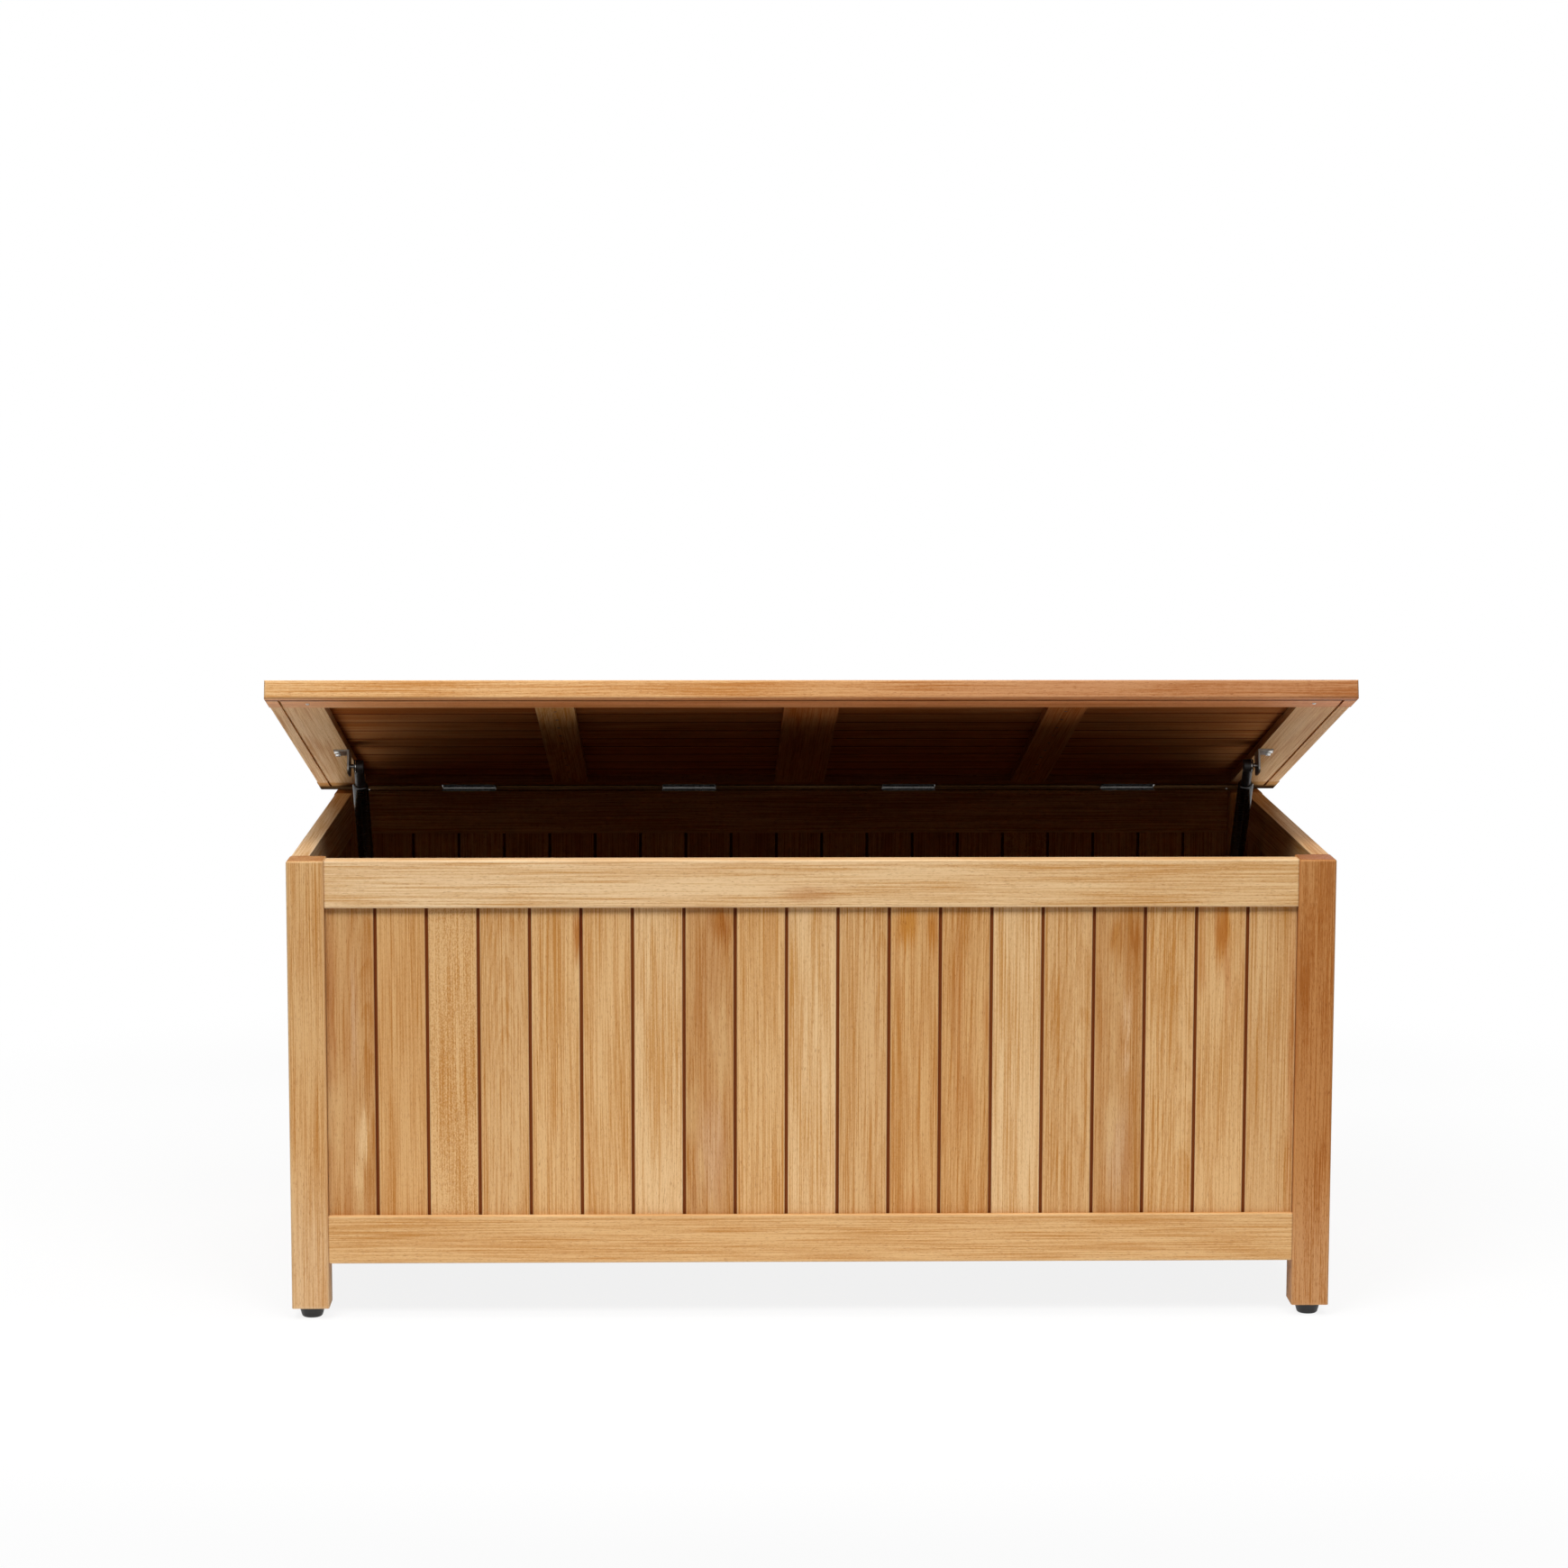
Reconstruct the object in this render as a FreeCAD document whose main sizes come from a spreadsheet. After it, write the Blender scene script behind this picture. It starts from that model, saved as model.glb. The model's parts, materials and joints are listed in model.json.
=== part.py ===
"""Cushion storage box: a framed, boarded chest whose lid swings up on two gas struts.

Millimetres, +Z up, +Y to the rear. The origin lies on the floor, in the middle of the space
that the box takes up while its lid stands part open.
"""
import FreeCAD
import Part
import math
import os
import Sketcher

from FreeCAD import Placement, Rotation, Vector

SIZES = {
    # carcass
    "body_width": 1400,
    "body_depth": 742,
    "rim_height": 625,
    "post_size": 50,
    "post_radius": 3,
    "rail_thickness": 25,
    "rail_setback": 2,
    "rail_radius": 2,
    "top_rail_height": 64,
    "bottom_rail_height": 65,
    "bottom_rail_lift": 77,
    "tenon_thickness": 10,
    "tenon_length": 20,
    "tenon_shoulder": 12,
    "tenon_clear": 3,
    "fit_play": 0.2,
    "end_play": 1,
    # feet
    "foot_height": 15.5,
    "foot_top_diameter": 35,
    "foot_base_diameter": 28,
    "foot_chamfer": 1.5,
    "spigot_diameter": 10,
    "spigot_length": 22,
    # wall boards
    "board_thickness": 12,
    "board_recess": 8,
    "board_gap": 4,
    "board_chamfer": 1,
    "board_hold": 8,
    "tongue_thickness": 4,
    "tongue_hold": 4,
    "front_board_count": 19,
    "side_board_count": 9,
    # floor
    "slat_thickness": 12,
    "slat_gap": 4,
    "slat_count": 14,
    "cleat_width": 20,
    "cleat_height": 25,
    "cleat_lift": 5,
    # lid
    "lid_overhang": 26,
    "lid_thickness": 25,
    "lid_rail_width": 70,
    "lid_stile_width": 73,
    "lid_radius": 3,
    "rebate_width": 10,
    "lid_board_thickness": 12,
    "lid_board_inset": 1,
    "lid_board_gap": 1.2,
    "lid_board_count": 10,
    "lid_board_waste": 17,
    "muntin_width": 74,
    "batten_width": 52,
    "batten_screw_inset": 34,
    "drip_inset": 18,
    "drip_width": 3.5,
    "drip_depth": 3,
    "drip_stop": 30,
    "drip_hook": 10,
    "rest_opening": 16.13,
    "full_opening": 80,
    # hinges
    "hinge_count": 4,
    "hinge_inset": 200.5,
    "hinge_length": 80,
    "leaf_width": 26,
    "leaf_thickness": 1.8,
    "leaf_play": 0.4,
    "leaf_let_in": 0.9,
    "knuckle_count": 5,
    "knuckle_diameter": 8,
    "knuckle_gap": 1,
    "knuckle_play": 0.3,
    "pin_diameter": 4.5,
    "pin_play": 0.15,
    # struts and their brackets
    "strut_reach": 335,
    "strut_drop": 20,
    "strut_play": 0.3,
    "stud_play": 1.2,
    "strut_post_gap": 1,
    "tube_diameter": 22,
    "tube_wall": 1.5,
    "tube_start": 34,
    "tube_chamfer": 3,
    "gland_length": 15,
    "rod_diameter": 10,
    "rod_show": 110,
    "rod_start": 8,
    "rod_margin": 8,
    "piston_length": 12,
    "ball_diameter": 10,
    "stud_diameter": 6,
    "socket_diameter": 18,
    "socket_width": 13,
    "socket_neck_diameter": 14,
    "plate_thickness": 2.5,
    "plate_width": 22,
    "plate_height": 64,
    "plate_radius": 8,
    "plate_screw_spacing": 44,
    "bracket_width": 40,
    "bracket_drop": 34,
    "bracket_screw_spacing": 22,
    # screws
    "screw_diameter": 4,
    "screw_head_diameter": 8,
    "screw_head_height": 2.5,
    "screw_length": 18,
    "screw_room": 0.5,
    "leaf_screw_head": 7,
}

doc = FreeCAD.newDocument("storage_box")
sheet = doc.addObject("Spreadsheet::Sheet", "sizes")


class Size:
    """A cell of the sheet, or a formula of several, as expression text with its present value."""

    def __init__(self, text, value):
        self.text = text
        self.value = value

    def __add__(self, other):
        other = as_size(other)
        return Size(f"({self.text} + {other.text})", self.value + other.value)

    def __sub__(self, other):
        other = as_size(other)
        return Size(f"({self.text} - {other.text})", self.value - other.value)

    def __mul__(self, other):
        other = as_size(other)
        return Size(f"({self.text} * {other.text})", self.value * other.value)

    def __truediv__(self, other):
        other = as_size(other)
        return Size(f"({self.text} / {other.text})", self.value / other.value)

    def __rsub__(self, other):
        return as_size(other) - self

    def __neg__(self):
        return Size(f"(0 - {self.text})", -self.value)

    __radd__ = __add__
    __rmul__ = __mul__


def as_size(value):
    """A plain number as a Size; a Size stays as it is."""
    if isinstance(value, Size):
        return value
    return Size(f"{value}", float(value))


def sine(angle):
    return Size(f"sin({angle.text})", math.sin(math.radians(angle.value)))


def cosine(angle):
    return Size(f"cos({angle.text})", math.cos(math.radians(angle.value)))


def bearing(rise, run):
    """The angle in degrees whose tangent is rise / run, with run above zero."""
    return Size(f"(atan({rise.text} / {run.text}) / 1 deg)", math.degrees(math.atan2(rise.value, run.value)))


def root(square):
    return Size(f"sqrt({square.text})", math.sqrt(square.value))


def fill_sheet():
    """Writes every driving size into the sheet and returns them by name."""
    cells = {}
    for row, (name, value) in enumerate(SIZES.items(), start=1):
        sheet.set(f"A{row}", name)
        sheet.set(f"B{row}", str(value))
        sheet.setAlias(f"B{row}", name)
        cells[name] = Size(f"sizes.{name}", float(value))
    doc.recompute()
    return cells


class Sizes:
    """The driving sizes as attributes, and the sizes and places that follow from them."""

    def __init__(self, cells):
        self.__dict__.update(cells)
        self.carcass()
        self.lid()
        self.struts()

    def carcass(self):
        self.front_clear = self.body_width - self.post_size * 2
        self.side_clear = self.body_depth - self.post_size * 2
        self.rail_inner = self.rail_setback + self.rail_thickness
        self.groove_width = self.board_thickness + self.fit_play * 2
        self.groove_depth = self.board_hold + self.end_play
        self.top_rail_lift = self.rim_height - self.top_rail_height
        self.bottom_rail_top = self.bottom_rail_lift + self.bottom_rail_height
        self.board_lift = self.bottom_rail_top - self.board_hold
        self.board_length = self.top_rail_lift - self.bottom_rail_top + self.board_hold * 2
        self.post_length = self.rim_height - self.foot_height
        self.tenon_inset = (self.rail_thickness - self.tenon_thickness) / 2
        self.slat_lift = self.bottom_rail_lift + self.cleat_lift + self.cleat_height

    def lid(self):
        """Lid places are taken from the hinge pin, with the lid closed and its leaves folded together."""
        self.pin_back = self.body_depth / 2 - self.rail_setback + self.knuckle_gap + self.knuckle_diameter / 2
        self.leaf_outer = self.leaf_thickness + self.leaf_play / 2
        self.lid_under = self.leaf_outer - self.leaf_let_in
        self.pin_z = self.rim_height + self.lid_under
        self.lid_half = self.body_width / 2 + self.lid_overhang
        self.lid_front = -(self.body_depth / 2 + self.lid_overhang + self.pin_back)
        self.lid_rear = self.body_depth / 2 + self.lid_overhang - self.pin_back
        self.lid_top = self.lid_under + self.lid_thickness
        self.ledge_top = self.lid_top - self.lid_board_inset - self.lid_board_thickness
        self.frame_front = self.lid_front + self.lid_rail_width
        self.frame_rear = self.lid_rear - self.lid_rail_width
        self.frame_half = self.lid_half - self.lid_stile_width
        self.batten_place = (self.frame_half + self.muntin_width / 2) / 2
        boarded = self.frame_rear - self.frame_front + self.rebate_width * 2
        self.lid_board_pitch = (boarded + self.lid_board_waste) / self.lid_board_count
        self.hinge_spacing = (self.body_width - self.hinge_inset * 2) / (self.hinge_count - 1)
        turn_cos = cosine(self.rest_opening)
        turn_sin = sine(self.rest_opening)
        rear_reach = self.pin_back + self.lid_rear * turn_cos + self.lid_top * turn_sin
        self.centre_y = (self.body_depth / 2 - rear_reach) / 2
        self.pin_y = self.centre_y + self.pin_back
        self.front_y = self.centre_y - self.body_depth / 2
        self.rear_y = self.centre_y + self.body_depth / 2

    def struts(self):
        """Both balls of a strut lie equally far from the hinge pin.

        The strut is then the base of a triangle with two equal legs, so it turns at exactly
        half the rate of the lid.
        """
        leg = root(self.strut_reach * self.strut_reach + self.strut_drop * self.strut_drop)
        self.strut_x = self.body_width / 2 - self.post_size - self.strut_post_gap - self.tube_diameter / 2
        wall = self.rail_setback + self.board_recess + self.board_thickness
        self.plate_back = wall + self.end_play + self.plate_width / 2
        self.lower_y = self.rear_y - self.plate_back
        behind = self.pin_y - self.lower_y
        below = root(leg * leg - behind * behind)
        self.lower_z = self.pin_z - below
        turn_cos = cosine(self.rest_opening)
        turn_sin = sine(self.rest_opening)
        self.upper_y = self.pin_y - self.strut_reach * turn_cos - self.strut_drop * turn_sin
        self.upper_z = self.pin_z + self.strut_reach * turn_sin - self.strut_drop * turn_cos
        self.strut_lean = bearing(self.lower_y - self.upper_y, self.upper_z - self.lower_z)
        closed_angle = 90 - bearing(behind, below) - bearing(self.strut_drop, self.strut_reach)
        closed_length = leg * 2 * sine(closed_angle / 2)
        open_length = leg * 2 * sine((closed_angle + self.full_opening) / 2)
        self.tube_end = closed_length - self.rod_show
        stroke = open_length - closed_length
        self.rod_end = stroke + self.rod_show + self.gland_length + self.piston_length + self.rod_margin
        self.bore_diameter = self.tube_diameter - self.tube_wall * 2
        clear_of_rail = self.rail_inner + self.screw_room + self.screw_head_diameter / 2
        self.bracket_screw_x = self.body_width / 2 - clear_of_rail


def bind(feature, name, size):
    """Ties a property of a feature to a formula of the sheet."""
    feature.setExpression(name, as_size(size).text)


def new_body(label):
    body = doc.addObject("PartDesign::Body", label)
    body.Label = label
    body.AllowCompound = True
    return body


def plane_of(body, role):
    for feature in body.Origin.OriginFeatures:
        if feature.Role == role:
            return feature
    raise LookupError(role)


def new_sketch(body, role, height=0, shift=(0, 0)):
    """A sketch on a plane of its body, moved along the plane's normal and within the plane."""
    sketch = body.newObject("Sketcher::SketchObject", "outline")
    sketch.AttachmentSupport = [(plane_of(body, role), "")]
    sketch.MapMode = "FlatFace"
    bind(sketch, "AttachmentOffset.Base.x", shift[0])
    bind(sketch, "AttachmentOffset.Base.y", shift[1])
    bind(sketch, "AttachmentOffset.Base.z", height)
    return sketch


def fix_point(sketch, geometry, position, corner):
    """Holds one point of a sketch at its two formulas."""
    for kind, size in zip(("DistanceX", "DistanceY"), corner):
        index = sketch.addConstraint(Sketcher.Constraint(kind, -1, 1, geometry, position, size.value))
        bind(sketch, f"Constraints[{index}]", size)


def draw_polygon(sketch, corners):
    """A closed outline through corners given as pairs of formulas."""
    corners = [(as_size(first), as_size(second)) for first, second in corners]
    points = [Vector(first.value, second.value, 0) for first, second in corners]
    count = len(points)
    lines = [Part.LineSegment(points[i], points[(i + 1) % count]) for i in range(count)]
    first_line = sketch.GeometryCount
    sketch.addGeometry(lines, False)
    for i in range(count):
        follower = first_line + (i + 1) % count
        sketch.addConstraint(Sketcher.Constraint("Coincident", first_line + i, 2, follower, 1))
        fix_point(sketch, first_line + i, 1, corners[i])


def draw_rectangle(sketch, low, high):
    draw_polygon(sketch, [low, (high[0], low[1]), high, (low[0], high[1])])


def draw_circle(sketch, centre, diameter):
    diameter = as_size(diameter)
    centre = (as_size(centre[0]), as_size(centre[1]))
    middle = Vector(centre[0].value, centre[1].value, 0)
    circle = sketch.addGeometry(Part.Circle(middle, Vector(0, 0, 1), diameter.value / 2), False)
    fix_point(sketch, circle, 3, centre)
    index = sketch.addConstraint(Sketcher.Constraint("Diameter", circle, diameter.value))
    bind(sketch, f"Constraints[{index}]", diameter)


def pad(body, sketch, length):
    feature = body.newObject("PartDesign::Pad", "pad")
    feature.Profile = sketch
    bind(feature, "Length", length)
    return feature


def pocket(body, sketch, depth, along_normal=False, taper=None):
    """Cuts a sketch against its plane's normal, or along it, narrowing by the taper's angle."""
    feature = body.newObject("PartDesign::Pocket", "pocket")
    feature.Profile = sketch
    feature.Reversed = along_normal
    bind(feature, "Length", depth)
    if taper:
        bind(feature, "TaperAngle", taper)
    return feature


def revolve(body, sketch, axis="V_Axis"):
    feature = body.newObject("PartDesign::Revolution", "revolution")
    feature.Profile = sketch
    feature.ReferenceAxis = (sketch, [axis])
    feature.Angle = 360
    return feature


def repeat(body, feature, sketch, axis, spacing, count):
    """A row of copies of one feature along an axis of its sketch."""
    pattern = body.newObject("PartDesign::LinearPattern", "row")
    pattern.Originals = [feature]
    pattern.Direction = (sketch, [axis])
    bind(pattern, "Length", spacing * (count - 1))
    bind(pattern, "Occurrences", count)
    body.Tip = pattern
    return pattern


def round_edges(body, radius, chosen):
    """Rounds the edges of the body that the test accepts, each taken by its two ends."""
    doc.recompute()
    tip = body.Tip
    names = []
    for number, edge in enumerate(tip.Shape.Edges, start=1):
        ends = [vertex.Point for vertex in edge.Vertexes]
        if len(ends) == 2 and chosen(*ends):
            names.append(f"Edge{number}")
    fillet = body.newObject("PartDesign::Fillet", "rounding")
    fillet.Base = (tip, names)
    bind(fillet, "Radius", radius)


def near(first, second):
    """True where a coordinate lies on a size's present value."""
    return abs(first - as_size(second).value) < SAME_PLACE


def place(body, x, y, z, turn=0):
    """Sets a body down, turned about the upright axis by whole quarter turns."""
    body.Placement = Placement(Vector(), Rotation(Vector(0, 0, 1), turn))
    for name, size in zip("xyz", (x, y, z)):
        bind(body, f"Placement.Base.{name}", size)


def place_tilted(body, x, y, z, axis_x, angle):
    """Sets a body down, tilted about the axis that runs across the box."""
    body.Placement = Placement(Vector(), Rotation(Vector(axis_x, 0, 0), angle.value))
    for name, size in zip("xyz", (x, y, z)):
        bind(body, f"Placement.Base.{name}", size)
    bind(body, "Placement.Rotation.Angle", angle)


def place_on_lid(body):
    """Lid pieces are modelled about the hinge pin and lean back with the lid."""
    place_tilted(body, 0, S.pin_y, S.pin_z, -1, S.rest_opening)


S = Sizes(fill_sheet())

QUARTER = 90
SAME_PLACE = 1e-4
LEAST_CUT = 1e-3
LEFT = -1
RIGHT = 1
SIDE_NAMES = {LEFT: "left", RIGHT: "right"}


def tenon_heights(height, groove_up):
    """Lower and upper limit of a rail's tenon, clear of the rail's board groove."""
    grooved = S.groove_depth + S.tenon_clear
    if groove_up:
        return S.tenon_shoulder, height - grooved
    return grooved, height - S.tenon_shoulder


def make_post(label, x, y, turn, plate_face=None):
    """A corner post with its outer corner at the body's own origin."""
    body = new_body(label)
    outline = new_sketch(body, "XY_Plane")
    draw_rectangle(outline, (0, 0), (S.post_size, S.post_size))
    pad(body, outline, S.post_length)
    round_edges(body, S.post_radius, lambda a, b: near(a.z, S.post_length) or not near(a.z, b.z))
    low = S.rail_setback + S.tenon_inset - S.fit_play
    high = low + S.tenon_thickness + S.fit_play * 2
    rails = (
        (S.top_rail_lift, tenon_heights(S.top_rail_height, False)),
        (S.bottom_rail_lift, tenon_heights(S.bottom_rail_height, True)),
    )
    for role, height, along_normal in (("YZ_Plane", S.post_size, False), ("XZ_Plane", -S.post_size, True)):
        mortises = new_sketch(body, role, height)
        for lift, (bottom, top) in rails:
            base = lift - S.foot_height
            draw_rectangle(mortises, (low, base + bottom - S.fit_play), (high, base + top + S.fit_play))
        pocket(body, mortises, S.tenon_length + S.end_play, along_normal)
    spigot_hole = new_sketch(body, "XY_Plane")
    draw_circle(spigot_hole, (S.post_size / 2, S.post_size / 2), S.spigot_diameter + S.fit_play * 2)
    pocket(body, spigot_hole, S.spigot_length + S.end_play, True)
    if plate_face:
        height = S.post_size if plate_face == "YZ_Plane" else -S.post_size
        pilots = new_sketch(body, plate_face, height)
        for offset in (S.plate_screw_spacing / 2, -S.plate_screw_spacing / 2):
            centre = (S.plate_back, S.lower_z - S.foot_height + offset)
            draw_circle(pilots, centre, S.screw_diameter + S.fit_play * 2)
        depth = S.screw_length - S.plate_thickness + S.end_play
        pocket(body, pilots, depth, plate_face == "XZ_Plane")
    place(body, x, y, S.foot_height, turn)
    return body


def make_posts():
    half = S.body_width / 2
    return [
        make_post("post_front_left", -half, S.front_y, 0),
        make_post("post_front_right", half, S.front_y, QUARTER),
        make_post("post_rear_right", half, S.rear_y, 2 * QUARTER, "YZ_Plane"),
        make_post("post_rear_left", -half, S.rear_y, 3 * QUARTER, "XZ_Plane"),
    ]


def make_rail(label, clear, height, groove_up):
    """A rail with a board groove and a tenon at each end; its outer face is at y = 0."""
    body = new_body(label)
    tenons = new_sketch(body, "YZ_Plane", -(clear / 2 + S.tenon_length))
    bottom, top = tenon_heights(height, groove_up)
    draw_rectangle(tenons, (S.tenon_inset, bottom), (S.tenon_inset + S.tenon_thickness, top))
    pad(body, tenons, clear + S.tenon_length * 2)
    section = new_sketch(body, "YZ_Plane", -(clear / 2))
    groove_near = S.board_recess - S.fit_play
    groove_far = groove_near + S.groove_width
    edge, floor, back = (height, height - S.groove_depth, 0) if groove_up else (0, S.groove_depth, height)
    draw_polygon(section, [
        (0, edge), (groove_near, edge), (groove_near, floor), (groove_far, floor),
        (groove_far, edge), (S.rail_thickness, edge), (S.rail_thickness, back), (0, back),
    ])
    pad(body, section, clear)
    round_edges(body, S.rail_radius, lambda a, b: near(a.y, 0) and near(b.y, 0) and near(a.z, b.z))
    return body


def make_rails():
    rails = []
    half = S.body_width / 2
    walls = (
        ("front", S.front_clear, 0, S.front_y + S.rail_setback, 0),
        ("rear", S.front_clear, 0, S.rear_y - S.rail_setback, 2 * QUARTER),
        ("left", S.side_clear, S.rail_setback - half, S.centre_y, -QUARTER),
        ("right", S.side_clear, half - S.rail_setback, S.centre_y, QUARTER),
    )
    for wall, clear, x, y, turn in walls:
        top = make_rail(f"{wall}_top_rail", clear, S.top_rail_height, False)
        place(top, x, y, S.top_rail_lift, turn)
        if wall == "rear":
            cut_hinge_seats(top)
        bottom = make_rail(f"{wall}_bottom_rail", clear, S.bottom_rail_height, True)
        place(bottom, x, y, S.bottom_rail_lift, turn)
        rails += [top, bottom]
    return rails


def hinge_places():
    """Places of the hinges across the box, from left to right."""
    count = int(S.hinge_count.value)
    return [S.hinge_spacing * (i - (count - 1) / 2) for i in range(count)]


def leaf_screws():
    """Places of a leaf's two screws: along the hinge, and forward of the pin."""
    along = S.hinge_length / 4
    return [(-along, S.leaf_width / 2), (along, S.leaf_width / 2)]


def cut_hinge_seats(rail):
    """Seats for the lower leaves in the top of the rear rail, and pilot holes for their screws."""
    inset = S.knuckle_gap + S.knuckle_diameter / 2
    half = S.hinge_length / 2 + S.fit_play
    seats = new_sketch(rail, "XY_Plane", S.top_rail_height)
    for x in hinge_places():
        draw_rectangle(seats, (x - half, -inset), (x + half, S.leaf_width + S.fit_play - inset))
    pocket(rail, seats, S.leaf_let_in)
    pilots = new_sketch(rail, "XY_Plane", S.top_rail_height)
    for x in hinge_places():
        for along, forward in leaf_screws():
            draw_circle(pilots, (x + along, forward - inset), S.screw_diameter + S.fit_play * 2)
    pocket(rail, pilots, S.screw_length)


def tongued_outline(width, gap, thickness):
    """Section of one tongued board, from (0, 0), with its chamfered face at y = 0."""
    tongue_low = (thickness - S.tongue_thickness) / 2
    tongue_high = tongue_low + S.tongue_thickness
    slot_low = tongue_low - S.fit_play
    slot_high = tongue_high + S.fit_play
    reach = width + gap + S.tongue_hold
    slot = S.tongue_hold + S.end_play / 2
    chamfer = S.board_chamfer
    return [
        (chamfer, 0), (width - chamfer, 0), (width, chamfer),
        (width, tongue_low), (reach, tongue_low), (reach, tongue_high), (width, tongue_high),
        (width, thickness), (0, thickness),
        (0, slot_high), (slot, slot_high), (slot, slot_low), (0, slot_low), (0, chamfer),
    ]


def make_wall_boards(label, clear, count, x, y, turn):
    """A wall of upright boards; the outer face is at y = 0, and the last tongue is trimmed off."""
    body = new_body(label)
    pitch = (clear + S.board_gap) / count
    width = pitch - S.board_gap
    outline = new_sketch(body, "XY_Plane", 0, (-(clear / 2), 0))
    draw_polygon(outline, tongued_outline(width, S.board_gap, S.board_thickness))
    board = pad(body, outline, S.board_length)
    repeat(body, board, outline, "H_Axis", pitch, count)
    trim = new_sketch(body, "XY_Plane")
    kept = clear / 2 - S.fit_play
    beyond = kept + S.board_gap + S.tongue_hold + S.end_play
    for side in (LEFT, RIGHT):
        draw_rectangle(trim, (kept * side, -S.board_thickness), (beyond * side, S.board_thickness * 2))
    pocket(body, trim, S.board_length, True)
    place(body, x, y, S.board_lift, turn)
    return body


def make_walls():
    half = S.body_width / 2
    inset = S.rail_setback + S.board_recess
    return [
        make_wall_boards("front_boards", S.front_clear, S.front_board_count, 0, S.front_y + inset, 0),
        make_wall_boards("rear_boards", S.front_clear, S.front_board_count, 0, S.rear_y - inset, 2 * QUARTER),
        make_wall_boards("left_boards", S.side_clear, S.side_board_count, inset - half, S.centre_y, -QUARTER),
        make_wall_boards("right_boards", S.side_clear, S.side_board_count, half - inset, S.centre_y, QUARTER),
    ]


def make_floor():
    """Slats laid front to back on a cleat along the front and the rear, notched round the posts."""
    body = new_body("floor_slats")
    across = S.body_width - S.rail_inner * 2 - S.end_play * 2
    deep = S.body_depth - S.rail_inner * 2 - S.end_play * 2
    pitch = (across + S.slat_gap) / S.slat_count
    outline = new_sketch(body, "XY_Plane", 0, (-(across / 2), 0))
    draw_rectangle(outline, (0, -(deep / 2)), (pitch - S.slat_gap, deep / 2))
    slat = pad(body, outline, S.slat_thickness)
    repeat(body, slat, outline, "H_Axis", pitch, S.slat_count)
    notches = new_sketch(body, "XY_Plane")
    for side in (LEFT, RIGHT):
        for end in (-1, 1):
            corner = ((S.front_clear / 2 - S.end_play) * side, (S.side_clear / 2 - S.end_play) * end)
            draw_rectangle(notches, corner, (S.body_width / 2 * side, S.body_depth / 2 * end))
    pocket(body, notches, S.slat_thickness, True)
    place(body, 0, S.centre_y, S.slat_lift)
    cleats = new_body("floor_cleats")
    section = new_sketch(cleats, "YZ_Plane", S.end_play - S.front_clear / 2)
    wall = S.body_depth / 2 - S.rail_inner
    for end in (-1, 1):
        draw_rectangle(section, ((wall - S.cleat_width) * end, 0), (wall * end, S.cleat_height))
    pad(cleats, section, S.front_clear - S.end_play * 2)
    place(cleats, 0, S.centre_y, S.slat_lift - S.cleat_height)
    return [body, cleats]


def turned(label, corners):
    """A piece turned about its own upright axis, from half its outline."""
    body = new_body(label)
    outline = new_sketch(body, "XZ_Plane")
    draw_polygon(outline, corners)
    revolve(body, outline)
    return body


def make_feet():
    feet = []
    base = S.foot_base_diameter / 2
    top = S.foot_top_diameter / 2
    spigot = S.spigot_diameter / 2
    for end, y in (("front", S.front_y + S.post_size / 2), ("rear", S.rear_y - S.post_size / 2)):
        for side in (LEFT, RIGHT):
            foot = turned(f"foot_{end}_{SIDE_NAMES[side]}", [
                (0, 0), (base - S.foot_chamfer, 0), (base, S.foot_chamfer),
                (top, S.foot_height - S.foot_chamfer), (top, S.foot_height), (spigot, S.foot_height),
                (spigot, S.foot_height + S.spigot_length), (0, S.foot_height + S.spigot_length),
            ])
            place(foot, (S.body_width - S.post_size) / 2 * side, y, 0)
            feet.append(foot)
    return feet


def knuckle_spans(lower):
    """The parts of a barrel that belong to the other leaf, cut wide by the play."""
    count = int(S.knuckle_count.value)
    span = S.hinge_length / count
    spans = []
    for i in range(1 if lower else 0, count, 2):
        start = span * i - S.hinge_length / 2
        spans.append((start - S.knuckle_play / 2, start + span + S.knuckle_play / 2))
    return spans


def make_leaf(label, x, lower):
    """A hinge leaf about its pin; the lower leaf lies under the pin's level, the upper above it."""
    body = new_body(label)
    barrel = new_sketch(body, "YZ_Plane", x - S.hinge_length / 2)
    draw_circle(barrel, (0, 0), S.knuckle_diameter)
    pad(body, barrel, S.hinge_length)
    plate = new_sketch(body, "YZ_Plane", x - S.hinge_length / 2)
    outer = -S.leaf_outer if lower else S.leaf_outer
    inner = outer + S.leaf_thickness if lower else outer - S.leaf_thickness
    draw_rectangle(plate, (-S.leaf_width, outer), (0, inner))
    pad(body, plate, S.hinge_length)
    windows = new_sketch(body, "XY_Plane", S.knuckle_diameter)
    radius = S.knuckle_diameter / 2 + S.knuckle_play
    for start, end in knuckle_spans(lower):
        draw_rectangle(windows, (x + start, -radius), (x + end, radius))
    pocket(body, windows, S.knuckle_diameter * 2)
    bore = new_sketch(body, "YZ_Plane", x + S.hinge_length / 2)
    draw_circle(bore, (0, 0), S.pin_diameter + S.pin_play * 2)
    pocket(body, bore, S.hinge_length)
    holes = new_sketch(body, "XY_Plane", inner)
    for along, forward in leaf_screws():
        draw_circle(holes, (x + along, -forward), S.leaf_screw_head + S.fit_play * 2)
    countersink = bearing((S.leaf_screw_head - S.screw_diameter) / 2, S.leaf_thickness)
    pocket(body, holes, S.leaf_thickness, not lower, countersink)
    return body


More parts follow.
